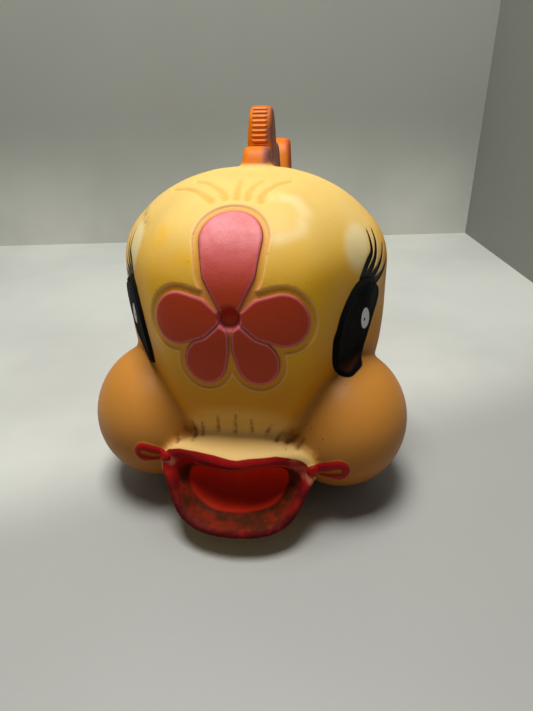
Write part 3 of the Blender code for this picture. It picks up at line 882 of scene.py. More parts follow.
    def relief(self, fields: dict[str, np.ndarray]) -> np.ndarray:
        """Turns the fields into heights of the moulded relief, in millimetres."""
        edge = self.groove_width
        grooves = rise(-0.15, 0.45, fields["pink"])
        grooves *= 1 - rise(edge - 0.35, edge + 0.25, fields["petals"])
        pit = self.hole_depth * (1 - rise(-0.6, 0.3, fields["hole"]))
        height = -np.maximum(self.groove_depth * grooves, pit)
        height -= 0.5 * (1 - rise(-0.6, 0.7, fields["crest"]))
        height -= 0.3 * (1 - rise(-0.4, 0.6, fields["pleat"]))
        height += self.curl_height * (1 - rise(-0.7, 0.2, fields["curl"]))
        height -= 1.1 * (1 - rise(-0.5, 0.4, fields["curl_groove"]))
        dome = 1 - rise(-1.3, 0.1, fields["eye"])
        height += self.eye_height * dome - 0.25 * dome * (1 - rise(-3.0, -1.3, fields["eye"]))
        height -= 0.3 * (1 - rise(-0.4, 0.4, fields["lash"]))
        ribs = 0.5 + 0.5 * np.cos(math.tau * fields["rib_along"] / self.rib_pitch)
        height += self.rib_height * ribs * (1 - rise(-0.5, 0.2, fields["rib"]))
        height -= 0.8 * (1 - rise(0.3, 1.1, fields["tail"]))
        return height

    def needs_detail(self, fields: dict[str, np.ndarray]) -> np.ndarray:
        """Says at which places the skin needs small faces."""
        near = (fields["petals"] < 3.0) | (fields["hole"] < 1.0)
        near &= (fields["pink"] > -1.2) | (fields["hole"] < 1.0)
        near |= (fields["crest"] < 1.2) | (fields["pleat"] < 1.2) | (fields["curl"] < 1.2)
        near |= (np.abs(fields["lip"]) < 1.3) | (np.abs(fields["rim"]) < 1.2)
        near |= (np.abs(fields["throat"]) < 1.0) | (fields["band_line"] < 0.8)
        near |= (np.abs(fields["eye"]) < 1.8) | (fields["lash"] < 1.0)
        near |= (fields["glint"] < 0.8) & (fields["eye"] < 0)
        return near | (fields["rib"] < 1.0)


@dataclass
class Fish:
    """The whole toy: its blank, its drawing and its finish."""

    blank: Blank = field(default_factory=Blank)
    drawing: Drawing = field(default_factory=Drawing)

    def refine(self, skin: bpy.types.Object, near: np.ndarray, cuts: int) -> None:
        """Divides the faces that touch the marked points.

        Args:
            skin: The object to refine.
            near: For each of its points, whether it is marked.
            cuts: Number of cuts across each edge.
        """
        pick_only(skin)
        faces = skin.data.polygons
        chosen = np.array([any(near[index] for index in face.vertices) for face in faces])
        bpy.ops.object.mode_set(mode="EDIT")
        bpy.ops.mesh.select_mode(type="FACE")
        bpy.ops.mesh.select_all(action="DESELECT")
        bpy.ops.object.mode_set(mode="OBJECT")
        faces.foreach_set("select", chosen)
        bpy.ops.object.mode_set(mode="EDIT")
        bpy.ops.mesh.subdivide(number_cuts=cuts, smoothness=0.0)
        bpy.ops.mesh.select_all(action="DESELECT")
        bpy.ops.mesh.select_face_by_sides(number=4, type="GREATER")
        bpy.ops.mesh.quads_convert_to_tris()
        bpy.ops.object.mode_set(mode="OBJECT")

    def flatten(self, skin: bpy.types.Object) -> None:
        """Cuts the belly flat where the toy stands."""
        pick_only(skin)
        bpy.ops.object.mode_set(mode="EDIT")
        bpy.ops.mesh.select_all(action="SELECT")
        bpy.ops.mesh.bisect(
            plane_co=(0.0, 0.0, 0.0),
            plane_no=(0.0, 0.0, 1.0),
            use_fill=True,
            clear_inner=True,
            threshold=1e-6,
        )
        bpy.ops.mesh.quads_convert_to_tris()
        bpy.ops.object.mode_set(mode="OBJECT")

    def press(self, skin: bpy.types.Object, guide: bpy.types.Object) -> None:
        """Presses the relief into the skin and keeps the painted fields on its points."""
        for cuts in (2, 1):
            fields = self.drawing.fields(read_places(skin), self.blank)
            near = self.drawing.needs_detail(fields) if cuts == 2 else fields["rib"] < 0.6
            self.refine(skin, near, cuts)
        self.blank.hug(skin, guide)
        places = read_places(skin)
        fields = self.drawing.fields(places, self.blank)
        normals = np.empty(places.size)
        skin.data.vertices.foreach_get("normal", normals)
        moved = places + normals.reshape(-1, 3) * self.drawing.relief(fields)[:, None]
        skin.data.vertices.foreach_set("co", (moved * MM).ravel())
        skin.data.update()
        fields.update(self.shades(places, normals.reshape(-1, 3)))
        for name, values in fields.items():
            layer = skin.data.attributes.new(name, "FLOAT", "POINT")
            layer.data.foreach_set("value", values.astype(np.float32))

    def shades(self, places: np.ndarray, normals: np.ndarray) -> dict[str, np.ndarray]:
        """Works out the soft fields of the sprayed paint and of the painted light and shade.

        Args:
            places: Places on the blank, in millimetres, one a row.
            normals: The blank's normals there.

        Returns:
            For each soft field's name, its strength from 0 to 1.
        """
        x, y, z = places.T
        middle = np.array(self.blank.cheek_middle)
        local = (np.column_stack((np.abs(x), y, z)) - middle) / (
            np.array(self.blank.cheek_size) / 2
        )
        cheek = 1 - rise(0.98, 1.22, np.linalg.norm(local, axis=1))
        facing = rise(
            -0.45, 0.35, -normals[:, 1] + 0.9 * normals[:, 2] - 0.55 * np.abs(normals[:, 0])
        )
        high = rise(18.0, 62.0, z)
        yellow = facing * (0.35 + 0.65 * high) * (1 - rise(24.0, 52.0, y))
        yellow = np.maximum(yellow * (1 - cheek), 0.0)
        # Painted light, on yellow paint: the lip's upward-facing crown is painted paler
        lip_top = (1 - rise(-24.0, -21.0, y)) * (1 - rise(27.0, 36.0, z)) * (1 - cheek)
        side = self.drawing.on_side(places)
        face = self.drawing.on_face(places)
        broad = 1 - rise(3.0, 13.0, np.hypot(side[:, 0] - 4.0, (side[:, 1] - 20.0) * 0.75))
        patch = np.hypot((np.abs(x) - 31.4) / 4.2, (face[:, 1] - 22.0) / 8.4)
        cream = np.maximum(0.55 * broad, 1 - rise(0.55, 1.15, patch))
        cream = np.where((np.abs(x) > 20.0) & (y < self.drawing.cream_end), cream, 0.0)
        stain = 1 - rise(4.0, 13.0, np.hypot(face[:, 0], (face[:, 1] - 1.0) * 0.9))
        stain = np.where((y < 10.0) & (z > 45.0), stain, 0.0)
        crown = np.interp(y, *self.drawing.fin_crown)
        front, back = self.drawing.fin_reach
        near_fin = (np.abs(x) < self.drawing.fin_half_width) & (y > front)
        root = np.where(near_fin, rise(0.4, 1.8, z - crown), 0.0)
        fin = np.where(y < back, np.maximum(root, rise(98.5, 100.5, z)), 0.0)
        # Painted light, on yellow paint: a band over the pleats, where the face turns up towards
        # the lip
        band = 1 - rise(2.0, 7.5, np.abs(face[:, 1] + 29.5 + 0.012 * x * x))
        band = np.where((y < -17.0) & (np.abs(x) < 24.0), band * (1 - cheek), 0.0)
        # Painted highlight: a pale glossy patch on the forehead
        painted_highlight = 1 - rise(0.2, 2.8, stroke_distance(face, self.drawing.painted_highlight))
        scuff = 1 - rise(0.3, 2.0, stroke_distance(face, self.drawing.scuff))
        pale_corners = [1 - rise(0.6, 2.0, stroke_distance(face, end)) for end in self.drawing.pale_lip_corners]
        clouds = [
            1 - rise(0.3, 1.0, np.hypot(face[:, 0] - across, face[:, 1] - up) / radius)
            for across, up, radius in self.drawing.clouds
        ]
        brow = (y < 20.0) & (z > 60.0)
        return {
            "yellow": yellow,
            "cheek": cheek,
            "lip_top": lip_top,
            "cream": cream,
            "stain": stain,
            "fin": np.maximum(fin, rise(80.0, 94.0, y)),
            "fin_side": fin * rise(1.2, 3.4, x),
            "tail_side": rise(80.0, 94.0, y) * rise(1.0, 4.0, x),
            "band": band,
            # Darker towards the bottom of the head and below the brow: partly thinner spray, partly
            # painted shade on the lower, more upright faces. The cheeks darken towards their
            # bottom.
            "low": 1 - rise(26.0, 92.0, z),
            "under": 1 - rise(6.0, 34.0, z),
            "below_brow_tone_and_shade": 1 - rise(72.0, 92.0, z),
            "painted_highlight": np.where(brow, painted_highlight, 0.0),
            "scuff": np.where(brow, scuff, 0.0),
            "pale_corners": np.where(y < -20.0, np.maximum.reduce(pale_corners), 0.0),
            "clouds": np.where(brow, np.maximum.reduce(clouds), 0.0),
        }

    def fit(self, skin: bpy.types.Object, low: Vector, high: Vector) -> None:
        """Scales the toy by the hair's breadth that brings it to the solid's size.

        Args:
            skin: The toy's skin.
            low: The solid's lowest corner, in metres.
            high: Its highest corner, in metres.
        """
        places = read_places(skin) * MM
        lowest, highest = places.min(axis=0), places.max(axis=0)
        share = (places - lowest) / (highest - lowest)
        fitted = np.array(low) + share * (np.array(high) - np.array(low))
        skin.data.vertices.foreach_set("co", fitted.ravel())
        skin.data.update()

    def build(self, low: Vector, high: Vector) -> bpy.types.Object:
        """Builds and dresses the toy.

        Args:
            low: The solid's lowest corner, in metres.
            high: Its highest corner, in metres.

        Returns:
            The finished toy.
        """
        skin, guide = self.blank.build()
        LOG.info("blank: %d faces", len(skin.data.polygons))
        self.press(skin, guide)
        self.flatten(skin)
        self.fit(skin, low, high)
        bpy.data.objects.remove(guide)
        skin.data.materials.clear()
        skin.data.materials.append(PaintedRubber().build())
        skin.data.shade_smooth()
        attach(skin, "root")
        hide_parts("fish")
        return skin


class Desk:
    """Lays out the nodes of one material."""

    def __init__(self, name: str) -> None:
        """Starts an empty material with a shader and an output."""
        self.material = bpy.data.materials.new(name)
        self.material.use_nodes = True
        self.tree = self.material.node_tree
        self.surface = self.tree.nodes["Principled BSDF"]
        self.places = self.tree.nodes.new("ShaderNodeTexCoord").outputs["Object"]

    def field(self, name: str) -> bpy.types.NodeSocket:
        """Reads a field kept on the mesh."""
        node = self.tree.nodes.new("ShaderNodeAttribute")
        node.attribute_name = name
        return node.outputs["Fac"]

    def span(
        self,
        value: bpy.types.NodeSocket,
        start: float,
        end: float,
        low: float = 0.0,
        high: float = 1.0,
    ) -> bpy.types.NodeSocket:
        """Maps a value smoothly from one range to another.

        Args:
            value: The value to map.
            start: Where it starts.
            end: Where it ends; it may be lower than the start.
            low: The result at the start.
            high: The result at the end.

        Returns:
            The mapped value.
        """
        node = self.tree.nodes.new("ShaderNodeMapRange")
        node.interpolation_type = "SMOOTHSTEP"
        flip = end < start
        limits = (end, start, high, low) if flip else (start, end, low, high)
        for name, number in zip(("From Min", "From Max", "To Min", "To Max"), limits):
            node.inputs[name].default_value = number
        self.tree.links.new(value, node.inputs["Value"])
        return node.outputs["Result"]

    def inside(self, name: str, soft: float = 0.12, grow: float = 0.0) -> bpy.types.NodeSocket:
        """Gives 1 inside a field and 0 outside it, with an edge `soft` millimetres wide."""
        return self.span(self.field(name), grow + soft, grow - soft)

    def math(
        self, kind: str, first: bpy.types.NodeSocket | float, second: bpy.types.NodeSocket | float
    ) -> bpy.types.NodeSocket:
        """Joins two values by a sum, product, power or the like."""
        node = self.tree.nodes.new("ShaderNodeMath")
        node.operation = kind
        for socket, value in zip(node.inputs, (first, second)):
            if isinstance(value, (int, float)):
                socket.default_value = value
            else:
                self.tree.links.new(value, socket)
        return node.outputs["Value"]

    def noise(self, scale: float, detail: float = 3.0, rough: float = 0.55) -> bpy.types.NodeSocket:
        """Gives a cloudy pattern over the object, `scale` clouds to the metre."""
        node = self.tree.nodes.new("ShaderNodeTexNoise")
        node.inputs["Scale"].default_value = scale
        node.inputs["Detail"].default_value = detail
        node.inputs["Roughness"].default_value = rough
        self.tree.links.new(self.places, node.inputs["Vector"])
        return node.outputs["Fac"]

    def blend(
        self,
        share: bpy.types.NodeSocket,
        under: bpy.types.NodeSocket | tuple[float, ...],
        over: bpy.types.NodeSocket | tuple[float, ...],
        kind: str = "MIX",
    ) -> bpy.types.NodeSocket:
        """Lays one colour over another.

        Args:
            share: How much of the upper colour shows.
            under: The lower colour.
            over: The upper colour.
            kind: Blender's name for the way they mix.

        Returns:
            The mixed colour.
        """
        node = self.tree.nodes.new("ShaderNodeMix")
        node.data_type = "RGBA"
        node.blend_type = kind
        self.tree.links.new(share, node.inputs[0])
        for socket, colour in ((node.inputs[6], under), (node.inputs[7], over)):
            if isinstance(colour, tuple):
                socket.default_value = colour
            else:
                self.tree.links.new(colour, socket)
        return node.outputs[2]

    def bump(
        self, height: bpy.types.NodeSocket, depth: float, below: bpy.types.NodeSocket | None = None
    ) -> bpy.types.NodeSocket:
        """Turns a height from 0 to 1 into relief `depth` millimetres high."""
        node = self.tree.nodes.new("ShaderNodeBump")
        node.inputs["Strength"].default_value = 1.0
        node.inputs["Distance"].default_value = depth * MM
        self.tree.links.new(height, node.inputs["Height"])
        if below is not None:
            self.tree.links.new(below, node.inputs["Normal"])
        return node.outputs["Normal"]


@dataclass(frozen=True)
class PaintedRubber:
    """Soft orange vinyl with sprayed and brushed paint, light wear, and painted light and shade."""

    vinyl: tuple[float, ...] = linear(212, 146, 50)
    vinyl_low: tuple[float, ...] = linear(198, 122, 18)
    cheek: tuple[float, ...] = linear(188, 125, 50)
    cheek_low: tuple[float, ...] = linear(150, 82, 0)
    yellow: tuple[float, ...] = linear(226, 190, 106)
    ochre: tuple[float, ...] = linear(238, 178, 32)
    ochre_low_and_shade: tuple[float, ...] = linear(218, 144, 0)
    cream: tuple[float, ...] = linear(236, 214, 158)
    lip_cream_and_light: tuple[float, ...] = linear(252, 212, 134)
    groove: tuple[float, ...] = linear(206, 122, 48)
    groove_shadow: tuple[float, ...] = linear(160, 62, 48)
    groove_edge_highlight: tuple[float, ...] = linear(238, 184, 136)
    crest_line: tuple[float, ...] = linear(204, 152, 48)
    pink: tuple[float, ...] = linear(220, 106, 112)
    pink_sheen: tuple[float, ...] = linear(232, 140, 142)
    pink_low: tuple[float, ...] = linear(188, 64, 30)
    pink_edge_and_highlight: tuple[float, ...] = linear(206, 100, 116)
    red: tuple[float, ...] = linear(154, 8, 10)
    red_shaded: tuple[float, ...] = linear(72, 0, 1)
    red_ridge_highlight: tuple[float, ...] = linear(196, 84, 52)
    throat: tuple[float, ...] = linear(190, 34, 2)
    throat_high_lit: tuple[float, ...] = linear(228, 34, 4)
    mouth_floor_shade: tuple[float, ...] = linear(66, 23, 0)
    pale_red: tuple[float, ...] = linear(206, 128, 92)
    black: tuple[float, ...] = linear(2, 2, 3)
    brown: tuple[float, ...] = linear(60, 32, 10)
    white: tuple[float, ...] = linear(226, 231, 227)
    fin: tuple[float, ...] = linear(218, 114, 2)
    fin_ridge: tuple[float, ...] = linear(230, 144, 84)
    fin_dirt: tuple[float, ...] = linear(120, 76, 78)
    tail_red: tuple[float, ...] = linear(190, 62, 40)
    dirt: tuple[float, ...] = linear(112, 64, 10)
    roughness: float = 0.46

    def build(self) -> bpy.types.Material:
        """Builds the whole finish."""
        desk = Desk("painted rubber")
        colour = self.base(desk)
        colour = self.flower(desk, colour)
        colour = self.mouth(desk, colour)
        colour = self.eye(desk, colour)
        colour = self.wear(desk, colour)
        surface = desk.surface
        desk.tree.links.new(colour, surface.inputs["Base Color"])
        desk.tree.links.new(self.gloss(desk), surface.inputs["Roughness"])
        desk.tree.links.new(self.grain(desk), surface.inputs["Normal"])
        surface.inputs["Specular IOR Level"].default_value = 0.16
        surface.inputs["Subsurface Weight"].default_value = 0.1
        surface.inputs["Subsurface Radius"].default_value = (0.0025, 0.0012, 0.0005)
        surface.inputs["Subsurface Scale"].default_value = 1.0
        return desk.material

    def base(self, desk: Desk) -> bpy.types.NodeSocket:
        """Colours the vinyl, its yellow spray and the orange fins, with painted light and shade."""
        cloud = desk.noise(38.0, 4.0)
        # The vinyl and the spray darken towards the bottom, partly thinner paint and partly painted
        # shade on the lower faces; the cheeks darken towards their bottom
        colour = desk.blend(desk.field("low"), self.vinyl, self.vinyl_low)
        cheek = desk.blend(desk.field("under"), self.cheek, self.cheek_low)
        colour = desk.blend(desk.field("cheek"), colour, cheek)
        spray = desk.blend(desk.field("below_brow_tone_and_shade"), self.yellow, self.ochre)
        spray = desk.blend(desk.span(desk.field("low"), 0.3, 0.9), spray, self.ochre_low_and_shade)
        spots = desk.math(
            "MULTIPLY",
            desk.field("clouds"),
            desk.span(desk.noise(90.0, 4.0), 0.4, 0.65, 0.2, 0.85),
        )
        spray = desk.blend(spots, spray, self.ochre)
        thin = desk.math("MULTIPLY", desk.field("yellow"), desk.span(cloud, 0.25, 0.55, 0.82, 1.0))
        colour = desk.blend(thin, colour, spray)
        # Painted highlight: a pale cream patch on the forehead that stands in for the lamp's gloss
        painted_highlight = desk.math(
            "MULTIPLY",
            desk.field("painted_highlight"),
            desk.span(desk.noise(160.0, 4.0), 0.3, 0.6, 0.25, 0.6),
        )
        colour = desk.blend(painted_highlight, colour, self.cream)
        # Painted light, on yellow paint: the pleats' band and the lip's upward-facing crown are
        # lifted to pale yellow and cream
        band = desk.math("MULTIPLY", desk.field("band"), 0.5)
        colour = desk.blend(band, colour, self.yellow)
        lip = desk.math("MULTIPLY", desk.field("lip_top"), 0.92)
        colour = desk.blend(lip, colour, self.lip_cream_and_light)
        cream = desk.math("MULTIPLY", desk.field("cream"), desk.span(cloud, 0.3, 0.6, 0.6, 0.95))
        colour = desk.blend(cream, colour, self.cream)
        crest = desk.math("MULTIPLY", desk.inside("crest", 0.6, -0.15), 0.55)
        colour = desk.blend(crest, colour, self.crest_line)
        ridge = desk.math(
            "MULTIPLY", desk.inside("rib", 0.3), desk.span(self.ribs(desk), 0.35, 0.95, 0.0, 0.8)
        )
        fin = desk.blend(ridge, self.fin, self.fin_ridge)
        soil = desk.math(
            "MULTIPLY",
            desk.field("fin_side"),
            desk.span(desk.noise(220.0, 4.0), 0.3, 0.6, 0.35, 0.9),
        )
        fin = desk.blend(soil, fin, self.fin_dirt)
        tail = desk.math("MULTIPLY", desk.field("tail_side"), 0.7)
        fin = desk.blend(tail, fin, self.tail_red)
        return desk.blend(desk.field("fin"), colour, fin)

    def ribs(self, desk: Desk) -> bpy.types.NodeSocket:
        """Gives the fin's ribs as a wave along its front edge."""
        turns = desk.math("MULTIPLY", desk.field("rib_along"), math.tau / Drawing.rib_pitch)
        wave = desk.tree.nodes.new("ShaderNodeMath")
        wave.operation = "COSINE"
        desk.tree.links.new(turns, wave.inputs[0])
        return desk.span(wave.outputs["Value"], -1.0, 1.0)

    def flower(self, desk: Desk, under: bpy.types.NodeSocket) -> bpy.types.NodeSocket:
        """Paints pink petals, a thin ochre groove, stained corners, painted light and shade."""
        edge = Drawing.groove_width
        stain = desk.math("MULTIPLY", desk.field("stain"), 0.5)
        colour = desk.blend(stain, under, self.pink)
        bare = desk.blend(
            desk.span(desk.field("petals"), edge, -0.4, 0.35, 0.8), colour, self.groove
        )
        # Painted highlight: a pale line along the groove's outer edge, where it catches the light
        rim = desk.math("MULTIPLY", desk.inside("petals", 0.14, edge + 0.3), 0.55)
        colour = desk.blend(rim, colour, self.groove_edge_highlight)
        colour = desk.blend(desk.inside("petals", 0.2, edge), colour, bare)
        # Painted shadow: a dark line just outside each petal, in the shaded crease
        crease = desk.math("MULTIPLY", desk.inside("pink", 0.16, 0.4), 0.5)
        colour = desk.blend(crease, colour, self.groove_shadow)
        # Painted highlight on the upper petals, which lighten towards the top, and painted shade on
        # the lower ones, which darken below the brow
        top = desk.span(desk.field("hole_up"), 9.0, 20.0, 0.0, 0.8)
        petal = desk.blend(top, self.pink, self.pink_sheen)
        petal = desk.blend(desk.field("below_brow_tone_and_shade"), petal, self.pink_low)
        petal = desk.blend(
            desk.span(desk.noise(420.0, 2.0), 0.35, 0.75, 0.0, 0.3), petal, self.pink_low
        )
        # A pink line just inside each petal's edge: partly magenta edging, partly a painted
        # highlight on the raised edge
        line = desk.math("MULTIPLY", desk.span(desk.field("pink"), -0.65, -0.2), 0.75)
        petal = desk.blend(line, petal, self.pink_edge_and_highlight)
        colour = desk.blend(desk.inside("pink", 0.14, 0.06), colour, petal)
        lower = desk.span(desk.field("hole_up"), 1.0, -1.5)
        ring = desk.math("MULTIPLY", desk.inside("hole", 0.2, 0.3), lower)
        colour = desk.blend(desk.math("MULTIPLY", ring, 0.8), colour, self.pink_edge_and_highlight)
        pit = desk.blend(lower, self.throat, self.pink_low)
        return desk.blend(desk.inside("hole", 0.35, -0.4), colour, pit)

    def mouth(self, desk: Desk, under: bpy.types.NodeSocket) -> bpy.types.NodeSocket:
        """Paints the lips, the mouth's inside and cheek curls, with painted light and shade."""
        cloud = desk.noise(260.0, 3.0)
        # Painted shade: the red darkens towards the lower lip
        red = desk.blend(desk.span(desk.field("mouth_up"), 6.0, -2.0), self.red, self.red_shaded)
        red = desk.blend(desk.span(cloud, 0.4, 0.75, 0.0, 0.3), red, self.throat)
        colour = desk.blend(desk.inside("lip", 0.16), under, red)
        colour = desk.blend(desk.inside("mouth", 0.2, 0.4), colour, red)
        # Painted shade: the mouth's floor is dark brown for the shade under the upper lip
        inner = desk.blend(desk.span(cloud, 0.35, 0.7, 0.0, 0.25), self.mouth_floor_shade, self.throat)
        colour = desk.blend(desk.inside("rim", 0.3), colour, inner)
        # Painted light: the throat lightens towards its top, against the shade under the upper lip
        throat = desk.blend(
            desk.span(desk.field("mouth_up"), -3.0, 5.0), self.throat, self.throat_high_lit
        )
        colour = desk.blend(desk.inside("throat", 0.4), colour, throat)
        # Painted highlight: a lighter line on the ridge at the upper lip's inner edge
        line = desk.math("MULTIPLY", desk.inside("band_line", 0.18, 0.3), 0.5)
        colour = desk.blend(line, colour, self.red_ridge_highlight)
        # The lips' corners are painted paler
        pale_corners = desk.math("MULTIPLY", desk.field("pale_corners"), desk.span(cloud, 0.35, 0.6, 0.15, 0.75))
        colour = desk.blend(pale_corners, colour, self.pale_red)
        curl = desk.blend(desk.inside("curl_groove", 0.25), self.red, self.vinyl_low)
        return desk.blend(desk.inside("curl", 0.15, 0.05), colour, curl)

    def eye(self, desk: Desk, under: bpy.types.NodeSocket) -> bpy.types.NodeSocket:
        """Paints the eyes with their brown foot and white glint, and the lashes."""
        black = desk.blend(desk.span(desk.field("eye_up"), -6.0, -9.5), self.black, self.brown)
        black = desk.blend(desk.inside("eye", 0.4, -0.9), self.black, black)
        glint = desk.blend(desk.inside("glint_dot", 0.12), self.white, self.black)
        eye = desk.blend(desk.inside("glint", 0.12), black, glint)
        colour = desk.blend(desk.inside("lash", 0.12), under, self.black)
        return desk.blend(desk.inside("eye", 0.12, 0.1), colour, eye)

    def wear(self, desk: Desk, under: bpy.types.NodeSocket) -> bpy.types.NodeSocket:
        """Adds dirt in the creases, a scuff and fine specks."""
        streak = desk.span(desk.noise(500.0, 4.0), 0.35, 0.6)
        lines = desk.math(
            "MULTIPLY", desk.inside("pleat", 0.4, 0.0), desk.math("MULTIPLY", streak, 0.6)
        )
        colour = desk.blend(lines, under, self.dirt)
        scuff = desk.math("MULTIPLY", desk.field("scuff"), desk.math("MULTIPLY", streak, 0.45))
        colour = desk.blend(scuff, colour, self.dirt)
        specks = desk.span(desk.noise(900.0, 2.0, 0.4), 0.7, 0.76, 0.0, 0.7)
        patches = desk.span(desk.noise(70.0, 2.0), 0.5, 0.65)
        return desk.blend(desk.math("MULTIPLY", specks, patches), colour, self.dirt)

    def gloss(self, desk: Desk) -> bpy.types.NodeSocket:
        """Varies the roughness: handled rubber, matt paint on the eyes and in the mouth."""
        handled = desk.span(
            desk.noise(55.0, 4.0), 0.3, 0.7, self.roughness - 0.06, self.roughness + 0.1
        )
        matt = desk.span(desk.field("eye_along"), -5.0, 5.0, 0.5, 0.12)
        eye = desk.math("MULTIPLY", desk.inside("eye", 0.15), matt)
        low = desk.math(
            "MULTIPLY", desk.span(desk.field("mouth_up"), 6.0, 3.0), desk.inside("lip", 0.3)
        )
        inner = desk.math("MAXIMUM", low, desk.inside("mouth", 0.3, 0.3))
        return desk.math("ADD", desk.math("ADD", handled, eye), desk.math("MULTIPLY", inner, 0.3))

    def grain(self, desk: Desk) -> bpy.types.NodeSocket:
        """Adds the fine skin of the moulding, the sharp edges of the relief and the ribs."""
        normal = desk.bump(desk.noise(700.0, 3.0), 0.035)
        normal = desk.bump(desk.noise(120.0, 2.0), 0.08, normal)
        petal = desk.math("MULTIPLY", desk.noise(1500.0, 2.0), desk.inside("pink", 0.2))
        normal = desk.bump(petal, 0.06, normal)
        normal = desk.bump(desk.inside("pink", 0.18, 0.2), 0.3, normal)
        ribs = desk.math("MULTIPLY", self.ribs(desk), desk.inside("rib", 0.3))
        return desk.bump(ribs, 0.3, normal)


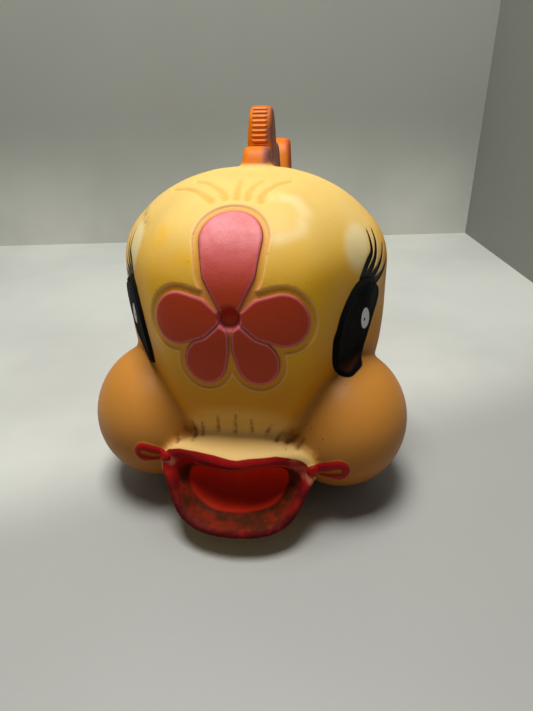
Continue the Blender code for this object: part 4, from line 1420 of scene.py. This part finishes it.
@dataclass
class Studio:
    """The pale table, the wall behind it, the lights and the camera, in metres."""

    camera_place: tuple[float, float, float] = (0.0249, -0.1508, 0.1213)
    camera_yaw: float = 7.55
    camera_pitch: float = 27.7
    camera_roll: float = -1.3
    lens: float = 24.0 * 534.0 / 711.0
    sensor: float = 24.0
    sheet_size: float = 3.0
    wall_place: tuple[float, float, float] = (0.0, 0.2923, 0.0)
    wall_turn: float = 8.7
    panel_place: tuple[float, float, float] = (0.1467, 0.2324, 0.0)
    # The panel ends just outside the picture, so that it hides nothing from the toy's left side
    panel_length: float = 0.17
    panel_turn: float = -81.6
    # Painted shadow: the way the table darkens towards the camera, and where that starts and ends
    table_way: tuple[float, float, float] = (0.5, -1.0, 0.0)
    table_fade: tuple[float, float] = (-0.035, 0.02)
    table: tuple[float, ...] = linear(198, 199, 190)
    table_near_shadow: tuple[float, ...] = linear(160, 160, 154)
    wall: tuple[float, ...] = linear(204, 205, 194)
    wall_high_shade: tuple[float, ...] = linear(150, 151, 141)
    panel: tuple[float, ...] = linear(130, 131, 123)
    room: tuple[float, ...] = linear(220, 222, 224)
    room_strength: float = 0.155

    def surface(
        self,
        name: str,
        colours: tuple[tuple[float, ...], tuple[float, ...]],
        way: tuple[float, float, float],
        limits: tuple[float, float],
        rough: float,
    ) -> bpy.types.Material:
        """Makes a plain, faintly clouded surface for the set, fading between two colours.

        Args:
            name: Name of the material.
            colours: Its two colours.
            way: The direction it fades in.
            limits: Where the fade starts and ends along that direction, in metres.
            rough: Its roughness.

        Returns:
            The material.
        """
        desk = Desk(name)
        along = desk.tree.nodes.new("ShaderNodeVectorMath")
        along.operation = "DOT_PRODUCT"
        along.inputs[1].default_value = way
        desk.tree.links.new(desk.places, along.inputs[0])
        shade = desk.blend(desk.span(along.outputs["Value"], *limits), *colours)
        darker = tuple(channel * 0.9 for channel in colours[1][:3]) + (1.0,)
        shade = desk.blend(desk.span(desk.noise(9.0, 4.0), 0.35, 0.7, 0.0, 0.35), shade, darker)
        desk.tree.links.new(shade, desk.surface.inputs["Base Color"])
        desk.surface.inputs["Roughness"].default_value = rough
        desk.tree.links.new(desk.bump(desk.noise(900.0, 2.0), 0.02), desk.surface.inputs["Normal"])
        return desk.material

    def add_sheet(
        self,
        name: str,
        place: tuple[float, float, float],
        turn: float | None,
        finish: bpy.types.Material,
        length: float | None = None,
    ) -> None:
        """Adds one large flat sheet of the set: the table, or an upright wall.

        Args:
            name: Name of the sheet.
            place: A place on its lower edge, or its middle where it lies flat.
            turn: How far an upright sheet turns from the X axis, in degrees; None lays it flat.
            finish: Its material.
            length: Its length along the table; None gives it the full size.
        """
        bpy.ops.object.select_all(action="DESELECT")
        tilt = (0.0, 0.0, 0.0) if turn is None else (math.pi / 2, 0.0, math.radians(turn))
        bpy.ops.mesh.primitive_plane_add(size=self.sheet_size, location=place, rotation=tilt)
        sheet = bpy.context.object
        sheet.scale.x = (length or self.sheet_size) / self.sheet_size
        bpy.ops.object.transform_apply(location=True, rotation=True, scale=True)
        sheet.name = name
        sheet.data.materials.append(finish)
        sheet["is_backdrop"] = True

    def build_set(self) -> None:
        """Builds the table top, the wall behind it and the panel on the right."""
        near = (self.table, self.table_near_shadow)
        table = self.surface("pale table", near, self.table_way, self.table_fade, 0.5)
        self.add_sheet("table", (0.0, 0.0, 0.0), None, table)
        upward = (0.0, 0.0, 1.0)
        # Painted shade: the wall is lighter near the table and darker higher up
        wall = self.surface("grey wall", (self.wall, self.wall_high_shade), upward, (0.0, 0.1), 0.7)
        self.add_sheet("wall", self.wall_place, self.wall_turn, wall)
        side = self.surface("grey panel", (self.panel, self.panel), upward, (0.0, 0.1), 0.6)
        self.add_sheet("panel", self.panel_place, self.panel_turn, side, self.panel_length)

    def add_lamp(
        self,
        name: str,
        place: tuple[float, float, float],
        aim: tuple[float, float, float],
        size: float,
        power: float,
    ) -> None:
        """Adds a soft square lamp.

        Args:
            name: Name of the lamp.
            place: Where it hangs.
            aim: What it points at.
            size: Length of its side.
            power: Its power in watts.
        """
        data = bpy.data.lights.new(name, "AREA")
        data.size = size
        data.energy = power
        lamp = bpy.data.objects.new(name, data)
        bpy.context.scene.collection.objects.link(lamp)
        lamp.location = place
        lamp.rotation_euler = (Vector(aim) - Vector(place)).to_track_quat("-Z", "Y").to_euler()

    def build_camera(self) -> None:
        """Sets the camera where the photograph was taken."""
        yaw, pitch, roll = (
            math.radians(angle) for angle in (self.camera_yaw, self.camera_pitch, self.camera_roll)
        )
        forward = Vector(
            (-math.sin(yaw) * math.cos(pitch), math.cos(yaw) * math.cos(pitch), -math.sin(pitch))
        )
        right = Vector((math.cos(yaw), math.sin(yaw), 0.0))
        up = right.cross(forward)
        side = right * math.cos(roll) + up * math.sin(roll)
        top = up * math.cos(roll) - right * math.sin(roll)
        data = bpy.data.cameras.new("camera")
        data.sensor_fit = "AUTO"
        data.sensor_width = self.sensor
        data.lens = self.lens
        data.clip_start = 0.005
        camera = bpy.data.objects.new("camera", data)
        bpy.context.scene.collection.objects.link(camera)
        turned = Matrix((side, top, -forward)).transposed().to_4x4()
        camera.matrix_world = Matrix.Translation(self.camera_place) @ turned
        bpy.context.scene.camera = camera

    def build(self) -> None:
        """Builds the set, its light and the camera."""
        self.build_camera()
        self.build_set()
        self.add_lamp("overhead", (-0.04, -0.02, 0.72), (0.0, 0.0, 0.05), 0.26, 5.95)
        world = bpy.data.worlds.new("room")
        world.use_nodes = True
        background = world.node_tree.nodes["Background"]
        background.inputs["Color"].default_value = self.room
        background.inputs["Strength"].default_value = self.room_strength
        bpy.context.scene.world = world
        bpy.context.scene.view_settings.view_transform = "Standard"


def main() -> None:
    """Builds the toy and its set, and notes how many faces the toy has."""
    logging.basicConfig(level=logging.INFO, format="%(message)s")
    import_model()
    low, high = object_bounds()
    Studio().build()
    fish = Fish().build(low, high)
    LOG.info("fish: %d faces", len(fish.data.polygons))


if __name__ == "__main__":
    main()
